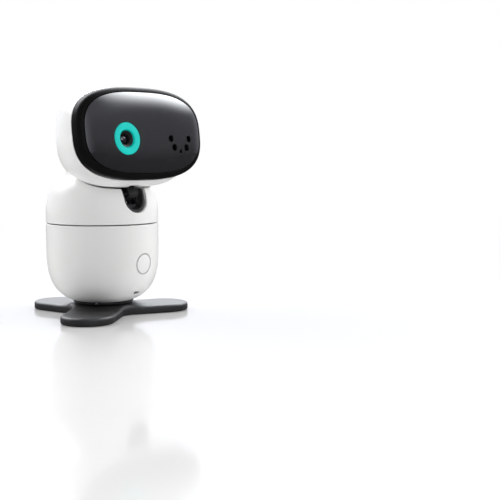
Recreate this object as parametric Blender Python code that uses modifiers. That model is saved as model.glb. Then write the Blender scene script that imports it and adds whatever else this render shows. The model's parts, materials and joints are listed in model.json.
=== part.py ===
"""Baby monitor camera on a mount with three bendable legs: a base, a turret that turns and a head
that tilts.

Frame: metres, +Z up. The origin is on the table under the middle of the body. The base faces -Y.
The turret stands turned 8 degrees clockwise from the base, and the head looks up 7 degrees.
Lengths below are in millimetres, and MM turns them into metres where a mesh is made.
"""

import math

import bmesh
import bpy
import numpy as np
from mathutils import Matrix, Vector

MM = 0.001
GAP = 0.3

# Body: one capsule in two halves, a lower shell that stands still and an upper shell that turns.
BODY_RADIUS = 32.5
BODY_BOTTOM = 6.75
BOTTOM_CURVE_HEIGHT = 34.5
BOTTOM_POWER = 3.05
SHOULDER_START = 55.3
SHOULDER_HEIGHT = 29.3
SHOULDER_POWER = 2.79
SEAM_Z = 53.55
SEAM_HALF = 0.3
WALL = 1.8
SHOULDER_TOP = 80.5
NECK_RADIUS = 20.6
NECK_TOP = 85.2
NECK_ROUND = 2.0
PLATE_RADIUS = 17.5
PLATE_TOP = 9.0
BODY_STEPS = 36
BUTTON_Z = 35.5

# Head, on its tilt axis. In its own frame the face looks along -Y.
PAN_DEG = -8.0
TILT_UP_DEG = 7.0
TILT_DOWN_LIMIT = 2.5
TILT_UP_LIMIT = 32.0
HEAD_CLEARANCE = 0.4
TILT_FORWARD = 13.9
TILT_Z = 101.87
FACE_HALF_WIDTH = 44.37
FACE_HALF_HEIGHT = 25.75
FACE_POWER = 2.83
FACE_FRONT = 24.95
BEZEL_BACK = 17.45
BEZEL_ROUND = 4.1
SHELL_FRONT = 17.15
SHELL_LENGTH = 42.3
SHELL_HALF_WIDTH = 44.05
SHELL_HALF_HEIGHT = 28.78
SHELL_POWER = 2.1
SHELL_DROP = 0.62
SHELL_WALL = 1.9
HEAD_STEPS = 36
LENS_X = -14.6
LENS_Z = -3.6
RING_OUTER = 8.85
RING_INNER = 4.75
IR_X = 24.1
IR_SPOTS = ((-7.0, -3.3), (-4.75, -8.27), (4.75, -8.27), (7.0, -3.3))
IR_RADIUS = 1.9
SENSOR_SPOT = (0.0, -10.4)
PANEL_INSET = 3.35
PANEL_CROWN = 2.5
PANEL_POWER = 4.5
RING_GROOVE = [(6.2, 36.0), (6.2, 28.0), (5.3, 28.0), (5.3, 36.0)]
RING_BAND = [(5.95, 36.0), (5.95, 30.0), (5.55, 30.0), (5.55, 36.0)]

# Gears: one module, a 12-tooth pinion on each motor.
MODULE = 0.8
PRESSURE_DEG = 25.0
ADDENDUM = 0.8
DEDENDUM = 1.15
BACKLASH = 0.16
PINION_TEETH = 12
PAN_TEETH = 36
SECTOR_TEETH = 88
SECTOR_FROM_DEG = -126.0
SECTOR_TO_DEG = -66.0
TILT_PINION_DEG = -87.0
MESH_SLACK = 0.05

# Turret slot and the curved guide that carries the tilt arm.
SLOT_HALF_WIDTH = 7.9
SLOT_BOTTOM = 60.2
SLOT_FLARE = 0.12
LINER_WALL = 1.2
LINER_BACK = 23.0
LINER_SUNK = 1.7
ARM_HALF = 3.0
RIB_INNER = 32.9
RIB_OUTER = 34.0
RIB_HALF = 4.9
ARM_GATE_HALF = 7.4

# Mount.
HUB_FLAT = 16.1
LEG_HALF_WIDTH = 15.0
LEG_REACH = 51.9
LEG_THICK = 4.6
HUB_TOP = 6.45
HINGE_RADIUS = 18.65
LEG_DIRECTIONS = {"front_right": -30.0, "rear": 90.0, "front_left": 210.0}
MAGNET_RADIUS = 13.5

GLOSS_WHITE = ("gloss_white", (0.86, 0.86, 0.85), 0.22, 0.0)
GLOSS_BLACK = ("gloss_black", (0.012, 0.012, 0.015), 0.12, 0.0)
SATIN_BLACK = ("satin_black", (0.025, 0.025, 0.028), 0.38, 0.0)
RUBBER = ("black_rubber", (0.03, 0.03, 0.032), 0.6, 0.0)
GREY_PLASTIC = ("grey_plastic", (0.3, 0.31, 0.32), 0.5, 0.0)
NATURAL_PLASTIC = ("natural_plastic", (0.75, 0.74, 0.68), 0.45, 0.0)
GLOW = ("teal_light_guide", (0.02, 0.72, 0.66), 0.3, 0.0)
GLASS = ("lens_glass", (0.05, 0.06, 0.09), 0.04, 0.0)
SMOKED = ("smoked_window", (0.01, 0.008, 0.012), 0.1, 0.0)
BOARD = ("circuit_board", (0.03, 0.2, 0.09), 0.5, 0.0)
STEEL = ("steel", (0.6, 0.6, 0.62), 0.3, 1.0)


def clear_scene():
    """Removes what the startup file holds."""
    for obj in list(bpy.data.objects):
        bpy.data.objects.remove(obj)


def make_material(finish):
    """A Principled material from (name, colour, roughness, metallic), made once."""
    name, colour, roughness, metallic = finish
    material = bpy.data.materials.get(name)
    if material is None:
        material = bpy.data.materials.new(name)
        material.use_nodes = True
        shader = material.node_tree.nodes["Principled BSDF"]
        shader.inputs["Base Color"].default_value = (*colour, 1.0)
        shader.inputs["Roughness"].default_value = roughness
        shader.inputs["Metallic"].default_value = metallic
    return material


def new_collection(name):
    """A collection under the scene's own."""
    collection = bpy.data.collections.new(name)
    bpy.context.scene.collection.children.link(collection)
    return collection


clear_scene()
PARTS = new_collection("baby_monitor_camera")
CUTTERS = new_collection("cutters")


def new_axis(name, parent=None, location=(0, 0, 0), rotation=(0, 0, 0)):
    """An empty that marks a joint's axis. Location in millimetres, rotation in degrees."""
    empty = bpy.data.objects.new(name, None)
    PARTS.objects.link(empty)
    empty.parent = parent
    empty.location = [value * MM for value in location]
    empty.rotation_euler = [math.radians(value) for value in rotation]
    return empty


def add_object(name, bm, finish, parent=None, smooth=40.0, location=(0, 0, 0), rotation=(0, 0, 0)):
    """Turns a bmesh in millimetres into a named object in metres. finish None makes a cutter."""
    bmesh.ops.scale(bm, vec=(MM, MM, MM), verts=bm.verts)
    mesh = bpy.data.meshes.new(name)
    bm.to_mesh(mesh)
    bm.free()
    obj = bpy.data.objects.new(name, mesh)
    obj.parent = parent
    obj.location = [value * MM for value in location]
    obj.rotation_euler = [math.radians(value) for value in rotation]
    if finish is None:
        CUTTERS.objects.link(obj)
        obj.hide_render = True
        obj.display_type = "WIRE"
        return obj
    PARTS.objects.link(obj)
    mesh.materials.append(make_material(finish))
    mesh.shade_smooth()
    mesh.set_sharp_from_angle(angle=math.radians(smooth))
    return obj


def add_boolean(obj, other, operation="DIFFERENCE"):
    """Cuts other from obj, or joins it on."""
    modifier = obj.modifiers.new(other.name, "BOOLEAN")
    modifier.operation = operation
    modifier.solver = "EXACT"
    modifier.object = other
    return modifier


def add_bevel(obj, width, segments=2, angle=40.0):
    """Rounds the sharp edges of an object. Width in millimetres."""
    modifier = obj.modifiers.new("rounded_edges", "BEVEL")
    modifier.width = width * MM
    modifier.segments = segments
    modifier.limit_method = "ANGLE"
    modifier.angle_limit = math.radians(angle)
    return modifier


def turned(name, profile, finish, parent=None, steps=BODY_STEPS, closed=True, **place):
    """A turned shape about Z: profile is (radius, z) pairs, down the outer side first."""
    bm = bmesh.new()
    verts = [bm.verts.new((radius, 0, z)) for radius, z in profile]
    for first, second in zip(verts, verts[1:]):
        bm.edges.new((first, second))
    if closed:
        bm.edges.new((verts[-1], verts[0]))
    obj = add_object(name, bm, finish, parent, **place)
    screw = obj.modifiers.new("turn", "SCREW")
    screw.axis = "Z"
    screw.steps = steps
    screw.render_steps = steps
    screw.use_merge_vertices = True
    screw.merge_threshold = 0.000001
    screw.use_smooth_shade = True
    return obj


def cylinder_bm(radius, low, high, steps=24, axis="Z", centre=(0, 0)):
    """A bmesh cylinder between low and high along an axis. centre is its place across the axis."""
    bm = bmesh.new()
    bmesh.ops.create_cone(
        bm, cap_ends=True, segments=steps, radius1=radius, radius2=radius, depth=high - low
    )
    bmesh.ops.translate(bm, vec=(0, 0, (low + high) / 2), verts=bm.verts)
    if axis == "X":
        bmesh.ops.rotate(bm, matrix=Matrix.Rotation(math.pi / 2, 3, "Y"), verts=bm.verts)
        bmesh.ops.translate(bm, vec=(0, centre[0], centre[1]), verts=bm.verts)
    elif axis == "Y":
        bmesh.ops.rotate(bm, matrix=Matrix.Rotation(-math.pi / 2, 3, "X"), verts=bm.verts)
        bmesh.ops.translate(bm, vec=(centre[0], 0, centre[1]), verts=bm.verts)
    else:
        bmesh.ops.translate(bm, vec=(centre[0], centre[1], 0), verts=bm.verts)
    return bm


def box_bm(low, high):
    """A bmesh box between two corners."""
    bm = bmesh.new()
    bmesh.ops.create_cube(bm, size=1.0)
    size = [b - a for a, b in zip(low, high)]
    bmesh.ops.scale(bm, vec=size, verts=bm.verts)
    middle = [(a + b) / 2 for a, b in zip(low, high)]
    bmesh.ops.translate(bm, vec=middle, verts=bm.verts)
    return bm


def plate_bm(outline, low, high, axis="Z"):
    """A flat outline pushed into a solid from low to high. For axis X the outline is (y, z) pairs."""
    bm = bmesh.new()
    if axis == "X":
        verts = [bm.verts.new((low, u, v)) for u, v in outline]
        push = (high - low, 0, 0)
    elif axis == "Y":
        verts = [bm.verts.new((u, low, v)) for u, v in outline]
        push = (0, high - low, 0)
    else:
        verts = [bm.verts.new((u, v, low)) for u, v in outline]
        push = (0, 0, high - low)
    face = bm.faces.new(verts)
    pushed = bmesh.ops.extrude_face_region(bm, geom=[face])
    moved = [item for item in pushed["geom"] if isinstance(item, bmesh.types.BMVert)]
    bmesh.ops.translate(bm, vec=push, verts=moved)
    bmesh.ops.recalc_face_normals(bm, faces=bm.faces)
    return bm


def arc(radius, start_deg, end_deg, count, centre=(0.0, 0.0)):
    """Points of an arc, ends included."""
    angles = np.radians(np.linspace(start_deg, end_deg, count))
    return [(centre[0] + radius * math.cos(a), centre[1] + radius * math.sin(a)) for a in angles]


def superellipse(half_width, half_height, power, count):
    """Points of a superellipse, anticlockwise from +X, spaced by the angle of its parameter."""
    angles = np.linspace(0.0, 2.0 * math.pi, count, endpoint=False)
    cosine, sine = np.cos(angles), np.sin(angles)
    x = half_width * np.sign(cosine) * np.abs(cosine) ** (2.0 / power)
    z = half_height * np.sign(sine) * np.abs(sine) ** (2.0 / power)
    return list(zip(x.tolist(), z.tolist()))


def loft_bm(rings, close_ends=False, poles=(None, None)):
    """A skin through rings of equal count, each a list of points. A ring loop is joined to itself
    unless it has poles, which close its ends, or close_ends, which fills them."""
    bm = bmesh.new()
    rows = [[bm.verts.new(point) for point in ring] for ring in rings]
    pairs = list(zip(rows, rows[1:]))
    if poles == (None, None) and not close_ends:
        pairs.append((rows[-1], rows[0]))
    for lower, upper in pairs:
        for i in range(len(lower)):
            j = (i + 1) % len(lower)
            bm.faces.new((lower[i], lower[j], upper[j], upper[i]))
    for pole, row in zip(poles, (rows[0], rows[-1])):
        if pole is None:
            continue
        tip = bm.verts.new(pole)
        for i in range(len(row)):
            bm.faces.new((row[i], row[(i + 1) % len(row)], tip))
    if close_ends:
        bm.faces.new(rows[0])
        bm.faces.new(rows[-1])
    bmesh.ops.recalc_face_normals(bm, faces=bm.faces)
    return bm


def bottom_radius(z):
    """Outer radius of the lower shell at height z, a superellipse that turns into the cylinder."""
    k = min(1.0, max(0.0, 1.0 - (z - BODY_BOTTOM) / BOTTOM_CURVE_HEIGHT))
    return BODY_RADIUS * (1.0 - k**BOTTOM_POWER) ** (1.0 / BOTTOM_POWER)


def bottom_height(radius):
    """Height at which the lower shell has this outer radius."""
    k = (1.0 - (radius / BODY_RADIUS) ** BOTTOM_POWER) ** (1.0 / BOTTOM_POWER)
    return BODY_BOTTOM + BOTTOM_CURVE_HEIGHT * (1.0 - k)


def shoulder_radius(z):
    """Outer radius of the upper shell at height z below the neck."""
    k = min(1.0, max(0.0, (z - SHOULDER_START) / SHOULDER_HEIGHT))
    return BODY_RADIUS * (1.0 - k**SHOULDER_POWER) ** (1.0 / SHOULDER_POWER)


def gear_outline(teeth, from_tooth=0, count=None, phase_deg=0.0):
    """Involute teeth as (x, y) points, anticlockwise. Tooth 0 is centred on phase_deg."""
    pitch = MODULE * teeth / 2.0
    base = pitch * math.cos(math.radians(PRESSURE_DEG))
    tip = pitch + ADDENDUM * MODULE
    root = pitch - DEDENDUM * MODULE
    at_pitch = math.tan(math.radians(PRESSURE_DEG)) - math.radians(PRESSURE_DEG)
    points = []

    def half_angle(radius):
        """Half of the tooth's thickness at a radius, as an angle."""
        pressure = math.acos(min(1.0, base / max(radius, base)))
        involute = math.tan(pressure) - pressure
        return math.pi / (2 * teeth) - BACKLASH / (2 * pitch) + at_pitch - involute

    radii = [root, max(base, root + 0.25 * MODULE), pitch, tip]
    for i in range(from_tooth, from_tooth + (count or teeth)):
        middle = math.radians(phase_deg) + 2 * math.pi * i / teeth
        flank = [(radius, half_angle(radius)) for radius in radii]
        for radius, half in flank:
            points.append((radius * math.cos(middle - half), radius * math.sin(middle - half)))
        for radius, half in reversed(flank):
            points.append((radius * math.cos(middle + half), radius * math.sin(middle + half)))
    return points


def screw(name, x, y, low, high, parent=None, head_up=True):
    """A pan-head screw along Z: a 1 mm radius shank and a 2 mm radius head."""
    head = 1.3
    if head_up:
        profile = [(0, high), (1.6, high), (2.0, high - 0.5), (2.0, high - head), (1.0, high - head)]
        profile += [(1.0, low + 0.5), (0.6, low), (0, low)]
    else:
        profile = [(0, high), (0.6, high), (1.0, high - 0.5), (1.0, low + head), (2.0, low + head)]
        profile += [(2.0, low + 0.5), (1.6, low), (0, low)]
    return turned(name, profile, STEEL, parent, steps=12, closed=False, location=(x, y, 0))


def build_mount():
    """Hub, magnet and three bendable legs with their cores."""
    outline = []
    corner = math.degrees(math.atan2(LEG_HALF_WIDTH, HUB_FLAT))
    reach = math.hypot(HUB_FLAT, LEG_HALF_WIDTH)
    for degrees in LEG_DIRECTIONS.values():
        outline.append((reach, degrees - corner))
        outline.append((reach, degrees + corner))
        gap = 120.0 - 2 * corner
        for share in (0.25, 0.5, 0.75):
            dip = 1.0 - 0.13 * math.sin(math.pi * share)
            outline.append((reach * dip, degrees + corner + gap * share))
    points = [(r * math.cos(math.radians(a)), r * math.sin(math.radians(a))) for r, a in outline]
    hub = add_object("mount_hub", plate_bm(points, 0.0, HUB_TOP), RUBBER)
    add_bevel(hub, 0.8, 2)
    pocket = add_object(
        "hub_pocket", cylinder_bm(MAGNET_RADIUS + GAP, 2.4, HUB_TOP + 1, 36), None
    )
    add_boolean(hub, pocket)
    magnet = add_object("mount_magnet", cylinder_bm(MAGNET_RADIUS, 2.7, HUB_TOP - 0.15, 36), STEEL)
    add_bevel(magnet, 0.3, 1)
    middle = LEG_REACH - LEG_HALF_WIDTH
    for side, degrees in LEG_DIRECTIONS.items():
        hinge = new_axis(
            f"leg_{side}_axis",
            location=(
                HINGE_RADIUS * math.cos(math.radians(degrees)),
                HINGE_RADIUS * math.sin(math.radians(degrees)),
                LEG_THICK / 2,
            ),
            rotation=(0, 0, degrees),
        )
        paddle = arc(LEG_HALF_WIDTH, -90, 90, 17, (middle - HINGE_RADIUS, 0.0))
        paddle += [(0.0, LEG_HALF_WIDTH - 0.4), (0.0, -LEG_HALF_WIDTH + 0.4)]
        half = LEG_THICK / 2
        leg = add_object(f"leg_{side}", plate_bm(paddle, -half, half), RUBBER, hinge)
        add_bevel(leg, 1.1, 2)
        root = add_object(
            f"leg_{side}_root",
            cylinder_bm(half - 0.08, -LEG_HALF_WIDTH + 0.6, LEG_HALF_WIDTH - 0.6, 16, "Y"),
            None,
            hinge,
        )
        add_boolean(leg, root, "UNION")
        slot = add_object(
            f"leg_{side}_slot", box_bm((-4, -5 - GAP, -0.4 - GAP), (24, 5 + GAP, 0.4 + GAP)), None, hinge
        )
        add_boolean(leg, slot)
        add_object(f"leg_core_{side}", box_bm((-1.8, -5, -0.4), (23.6, 5, 0.4)), STEEL, hinge)


def ring_skin(name, proud, sunk):
    """A cutter that keeps what lies between two offsets of the body's curved front."""
    profile = []
    heights = np.linspace(42.0, 20.0, 9)
    profile += [(bottom_radius(z) + proud, z) for z in heights]
    profile += [(bottom_radius(z) + sunk, z) for z in heights[::-1]]
    return turned(name, profile, None, steps=BODY_STEPS)


def build_base():
    """Everything that stands still on the mount's magnet."""
    seam = SEAM_Z - SEAM_HALF
    low = bottom_height(PLATE_RADIUS + GAP)
    turn = BODY_BOTTOM + BOTTOM_CURVE_HEIGHT
    heights = [turn - (turn - low) * (1 - math.cos(math.radians(a))) for a in np.linspace(0, 90, 13)]
    outer = [(BODY_RADIUS, seam - 0.4), *((bottom_radius(z), z) for z in heights)]
    outer.insert(0, (BODY_RADIUS - 0.4, seam))
    inner = [(bottom_radius(z) - WALL, z + WALL * (1 - (z - low) / (turn - low))) for z in heights[::-2]]
    inner[0] = (PLATE_RADIUS + GAP, low + WALL)
    inner += [(BODY_RADIUS - WALL, 45.0), (BODY_RADIUS - WALL, seam)]
    shell = turned("lower_shell", outer + inner, GLOSS_WHITE)
    front_port = add_object(
        "mic_slot",
        plate_bm(
            arc(0.8, -90, 90, 5, (1.4, 14.1)) + arc(0.8, 90, 270, 5, (-1.4, 14.1)), -34.0, -19.0, "Y"
        ),
        None,
    )
    groove = turned("ring_groove", RING_GROOVE, None, steps=30, rotation=(90, 0, 0), location=(0, 0, 31.0))
    add_boolean(groove, ring_skin("groove_skin", 3.0, -1.05), "INTERSECT")
    inlet = add_object("inlet_cut", box_bm((-5.3, 20, 21.0), (5.3, 36, 27.6)), None)
    button = add_object("button_hole", cylinder_bm(3.3, 20, 36, 20, "Y", (0, BUTTON_Z)), None)
    switch = add_object("switch_slot", box_bm((-4.6, 20, 43.2), (4.6, 36, 46.8)), None)
    for cutter in (front_port, groove, inlet, button, switch):
        add_boolean(shell, cutter)
    for i, angle in enumerate((144, 152, 160, 200, 208, 216)):
        slit = add_object(
            f"sound_slit_{i}", box_bm((20, -0.7, 22), (36, 0.7, 38)), None, rotation=(0, 0, angle - 90)
        )
        add_boolean(shell, slit)

    front_ring = turned(
        "front_ring", RING_BAND, GREY_PLASTIC, steps=30, rotation=(90, 0, 0), location=(0, 0, 31.0)
    )
    add_boolean(front_ring, ring_skin("ring_skin", -0.2, -0.72), "INTERSECT")

    plate = turned(
        "bottom_plate",
        [(0, PLATE_TOP), (PLATE_RADIUS, PLATE_TOP), (PLATE_RADIUS, 8.1), (PLATE_RADIUS - 0.8, 7.25),
         (PLATE_RADIUS - 4.0, BODY_BOTTOM), (0, BODY_BOTTOM)],
        SATIN_BLACK,
        closed=False,
        steps=48,
    )
    for i, angle in enumerate((90, 210, 330)):
        x = 15.3 * math.cos(math.radians(angle))
        y = 15.3 * math.sin(math.radians(angle))
        hole = add_object(f"plate_hole_{i}", cylinder_bm(1.3, 6, 10, 12, centre=(x, y)), None)
        sink = add_object(f"plate_sink_{i}", cylinder_bm(2.3, 6, 8.6, 12, centre=(x, y)), None)
        add_boolean(plate, hole)
        add_boolean(plate, sink)
        screw(f"plate_screw_{i + 1}", x, y, 7.1, 13.4, head_up=False)
    add_object("base_magnet", cylinder_bm(13.0, PLATE_TOP + GAP, 12.4, 36), STEEL)

    board = add_object("base_board", cylinder_bm(25.0, 21.4, 23.0, 40), BOARD)
    board_cut = add_object("board_cut", box_bm((-8, 16, 20), (8, 34, 24)), None)
    add_boolean(board, board_cut)
    inlet_body = add_object("power_inlet", box_bm((-5.0, 21.5, 21.3), (5.0, 29.8, 27.3)), SATIN_BLACK)
    mouth = add_object("inlet_mouth", box_bm((-4.3, 23.5, 22.0), (4.3, 33, 26.6)), None)
    add_boolean(inlet_body, mouth)

    microphone = cylinder_bm(2.4, -19.4, -16.0, 16, "Y", (0, 15.2))
    add_object("microphone", microphone, SATIN_BLACK)
    turned(
        "speaker",
        [(0, 23.6), (4.5, 23.6), (5.0, 21.0), (9.4, 20.4), (9.4, 19.0), (6.4, 18.6), (6.4, 13.6),
         (0, 13.6)],
        SATIN_BLACK,
        closed=False,
        steps=28,
        rotation=(-90, 0, 40),
        location=(0, 0.6, 34.5),
    )

    chassis = add_object("base_chassis", cylinder_bm(28.0, 25.3, 26.9, 36), NATURAL_PLASTIC)
    chassis_cut = add_object("chassis_cut", box_bm((-12, 8, 20), (12, 34, 30)), None)
    speaker_cut = add_object(
        "speaker_cut", box_bm((-12, 6, 20), (12, 34, 30)), None, rotation=(0, 0, 40)
    )
    add_boolean(chassis, chassis_cut)
    add_boolean(chassis, speaker_cut)

    turned(
        "base_deck",
        [(30.3, 50.8), (30.3, 49.0), (9.5, 49.0), (9.5, 50.8)],
        NATURAL_PLASTIC,
        steps=48,
    )
    turned(
        "pan_bearing",
        [(16.2, 53.3), (16.2, 51.1), (12.0, 51.1), (12.0, 53.3)],
        STEEL,
        steps=40,
    )
    distance = MODULE * (PAN_TEETH + PINION_TEETH) / 2 + MESH_SLACK
    motor_axis = (-distance, 0.0)
    motor = add_object("pan_motor", cylinder_bm(8.0, 27.2, 43.6, 24, centre=motor_axis), STEEL)
    add_bevel(motor, 0.5, 1)
    shaft_hole = add_object("pan_shaft_hole", cylinder_bm(1.3, 38, 46, 12, centre=motor_axis), None)
    add_boolean(motor, shaft_hole)
    pinion_axis = new_axis("pan_pinion_axis", location=(*motor_axis, 0))
    # The ring gear has a tooth on -X after the pan, so the pinion has a gap towards +X.
    pinion = add_object(
        "pan_pinion",
        plate_bm(gear_outline(PINION_TEETH, phase_deg=180.0 / PINION_TEETH), 44.4, 48.2),
        NATURAL_PLASTIC,
        pinion_axis,
        smooth=20,
    )
    shaft = add_object("pan_shaft", cylinder_bm(1.0, 40.5, 44.9, 12), None, pinion_axis)
    add_boolean(pinion, shaft, "UNION")

    turned(
        "pair_button",
        [(0, 33.0), (2.5, 33.0), (3.0, 32.5), (3.0, 29.3), (4.2, 29.3), (4.2, 28.3), (0, 28.3)],
        GREY_PLASTIC,
        closed=False,
        steps=24,
        rotation=(-90, 0, 0),
        location=(0, 0, BUTTON_Z),
    )
    knob = add_object("power_switch", box_bm((-4.2, 28.6, 43.5), (-0.2, 33.0, 46.5)), GREY_PLASTIC)
    flange = add_object("switch_flange", box_bm((-5.4, 28.0, 42.6), (1.0, 29.0, 47.4)), None)
    add_boolean(knob, flange, "UNION")


def notch_outline(half_width, top):
    """(x, z) outline of the turret's notch: a half circle below, and sides that lean apart above it."""
    middle = SLOT_BOTTOM + SLOT_HALF_WIDTH
    wide = half_width + SLOT_FLARE * (top - middle)
    return [(wide, top), (-wide, top), *arc(half_width, 180, 360, 13, (0.0, middle))]


def build_turret(turret):
    """The upper shell, its slot and what it carries, in the turret's own frame."""
    seam = SEAM_Z + SEAM_HALF
    top = SHOULDER_TOP
    heights = [SHOULDER_START + (top - SHOULDER_START) * math.sin(math.radians(a)) ** 0.9
               for a in np.linspace(0, 90, 11)]
    brim = shoulder_radius(top)
    shoulder = [(shoulder_radius(z), z) for z in heights[::-1]]
    outer = [(0, NECK_TOP), *arc(NECK_ROUND, 90, 0, 5, (NECK_RADIUS - NECK_ROUND, NECK_TOP - NECK_ROUND))]
    outer += [(NECK_RADIUS, top + 0.5), (NECK_RADIUS + 0.5, top), *shoulder]
    outer += [(BODY_RADIUS, seam + 0.4), (BODY_RADIUS - 0.4, seam), (0, seam)]
    shell = turned("upper_shell", outer, GLOSS_WHITE, turret, closed=False)
    inner = [(0, top - WALL), (brim - 2.2, top - WALL)]
    inner += [(shoulder_radius(z + 1.2) - WALL, z) for z in heights[-3:1:-2]]
    inner += [(BODY_RADIUS - WALL, SHOULDER_START), (BODY_RADIUS - WALL, seam - 5), (0, seam - 5)]
    inside = turned("inside_of_shell", inner, None, turret, closed=False)
    roof = add_object("saddle_underside", head_clearance_bm(HEAD_CLEARANCE + WALL), None, turret)
    add_boolean(inside, roof)
    clearance = add_object("head_clearance", head_clearance_bm(HEAD_CLEARANCE), None, turret)
    gate = box_bm((-ARM_GATE_HALF, -14, 62), (ARM_GATE_HALF, 14.6, 84))
    arm_gate = add_object("arm_gate", gate, None, turret)
    for cutter in (inside, clearance, arm_gate):
        add_boolean(shell, cutter)
    notch = notch_outline(SLOT_HALF_WIDTH, 95.0)
    notch_cut = add_object("notch_cut", plate_bm(notch, -40.0, -12.0, "Y"), None, turret)
    add_boolean(shell, notch_cut)

    liner_out = SLOT_HALF_WIDTH - GAP
    solid = plate_bm(notch_outline(liner_out, 84.0), -BODY_RADIUS - 3, -LINER_BACK, "Y")
    liner = add_object("slot_liner", solid, SATIN_BLACK, turret)
    hollow = notch_outline(liner_out - LINER_WALL, 95.0)
    hollow = plate_bm(hollow, -BODY_RADIUS - 8, -LINER_BACK - LINER_WALL, "Y")
    liner_cut = add_object("liner_hollow", hollow, None, turret)
    slit = add_object("liner_slit", box_bm((-5.4, -30, 64.6), (5.4, -18, 95)), None, turret)
    skin_profile = [(BODY_RADIUS - LINER_SUNK, 56.0), (BODY_RADIUS + 30, 56.0), (BODY_RADIUS + 30, 92.0)]
    skin_profile += [(10.0, 92.0), (brim - LINER_SUNK, top + 1.0)]
    skin_profile += [(shoulder_radius(z) - LINER_SUNK, z) for z in heights[-2::-1]]
    outside = turned("outside_of_shell", skin_profile[::-1], None, turret, steps=BODY_STEPS)
    for cutter in (liner_cut, slit, outside, clearance):
        add_boolean(liner, cutter)

    floor_profile = [(6.8, 55.9), (29.9, 55.9), (29.9, 53.85), (17.0, 53.85), (17.0, 53.6), (9.2, 53.6)]
    floor_profile += [(9.2, 43.9), (6.8, 43.9)]
    turned("turret_floor", floor_profile, NATURAL_PLASTIC, turret, steps=48)
    build_pan_gear(turret)
    build_guides(turret)
    build_tilt_drive(turret)
    for i, angle in enumerate((40, 140, 270)):
        x = 24.5 * math.cos(math.radians(angle))
        y = 24.5 * math.sin(math.radians(angle))
        hole = add_object(f"floor_hole_{i}", cylinder_bm(1.3, 52, 58, 12, centre=(x, y)), None, turret)
        add_boolean(bpy.data.objects["turret_floor"], hole)
        screw(f"floor_screw_{i + 1}", x, y, 54.0, 60.0, turret)


def build_pan_gear(turret):
    """The gear on the turret's spindle. Its teeth line up with the pinion at rest."""
    tooth_deg = 180.0 - PAN_DEG
    gear = add_object(
        "pan_gear",
        plate_bm(gear_outline(PAN_TEETH, phase_deg=tooth_deg), 44.4, 48.2),
        NATURAL_PLASTIC,
        turret,
        smooth=20,
    )
    bore = add_object("gear_bore", cylinder_bm(9.2 + GAP, 43, 49, 40), None, turret)
    add_boolean(gear, bore)


def polar(radius, degrees):
    """(y, z) in the turret's frame of a point about the tilt axis. 0 degrees is straight ahead."""
    a = math.radians(degrees)
    return (-(TILT_FORWARD + radius * math.cos(a)), TILT_Z + radius * math.sin(a))


def head_reach(x, degrees):
    """How far the head's outside is from the tilt axis, in the plane at x and at angles from straight
    ahead in the head's own frame: the farthest point of each ray that is inside the shell or bezel."""
    radii = np.linspace(0.0, 40.0, 401)
    angles = np.radians(np.atleast_1d(degrees))[:, None]
    forward, up = radii * np.cos(angles), radii * np.sin(angles)
    behind = SHELL_FRONT - forward
    share = (1.0 - np.clip(behind / SHELL_LENGTH, 0.0, 1.0) ** SHELL_POWER) ** (1.0 / SHELL_POWER)
    share = np.maximum(share, 1e-6)
    section = (abs(x) / (SHELL_HALF_WIDTH * share)) ** FACE_POWER
    section += (np.abs(up + SHELL_DROP) / (SHELL_HALF_HEIGHT * share)) ** FACE_POWER
    in_shell = (behind >= 0.0) & (section < 1.0)
    outline = (abs(x) / FACE_HALF_WIDTH) ** FACE_POWER + (np.abs(up) / FACE_HALF_HEIGHT) ** FACE_POWER
    in_bezel = (behind < 0.0) & (forward < FACE_FRONT) & (outline < 1.0)
    return np.max(np.where(in_shell | in_bezel, radii, 0.0), axis=1)


def head_clearance_bm(clearance):
    """The space that the head sweeps between its two limits, grown by a clearance."""
    tilts = np.linspace(-TILT_UP_LIMIT, TILT_DOWN_LIMIT, 12)
    around = np.linspace(0.0, 360.0, 49)[:-1]
    rings = []
    for x in np.linspace(-36.0, 36.0, 13):
        reach = np.max([head_reach(x, around - TILT_UP_DEG + tilt) for tilt in tilts], axis=0)
        rings.append([(x, *polar(radius + clearance, angle)) for radius, angle in zip(reach, around)])
    return loft_bm(rings, close_ends=True)


def annulus_outline(inner, outer, start, end, count):
    """(y, z) outline of a ring sector about the tilt axis, in the turret's frame."""
    angles = np.linspace(start, end, count)
    return [polar(outer, a) for a in angles] + [polar(inner, a) for a in angles[::-1]]


def build_guides(turret):
    """Two cheeks with a curved groove each, in which the tilt arm's ribs run."""
    for side, sign in (("left", -1.0), ("right", 1.0)):
        inner, outer = ARM_HALF + 0.4, RIB_HALF + 2.1
        low, high = sorted((sign * inner, sign * outer))
        ring = annulus_outline(31.8, 37.6, -80, -113, 10)
        cheek = add_object(f"guide_{side}", plate_bm(ring, low, high, "X"), SATIN_BLACK, turret)
        foot_outline = [polar(36.5, -113), polar(36.5, -98), (-8.6, 56.2), (2.4, 56.2)]
        foot = add_object(f"guide_{side}_foot", plate_bm(foot_outline, low, high, "X"), None, turret)
        add_boolean(cheek, foot, "UNION")
        groove_outline = annulus_outline(RIB_INNER - 0.35, RIB_OUTER + 0.35, -70, -125, 16)
        edge = sorted((sign * (inner - 2), sign * (RIB_HALF + 0.4)))
        groove = add_object(f"guide_{side}_groove", plate_bm(groove_outline, *edge, "X"), None, turret)
        add_boolean(cheek, groove)


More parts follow.
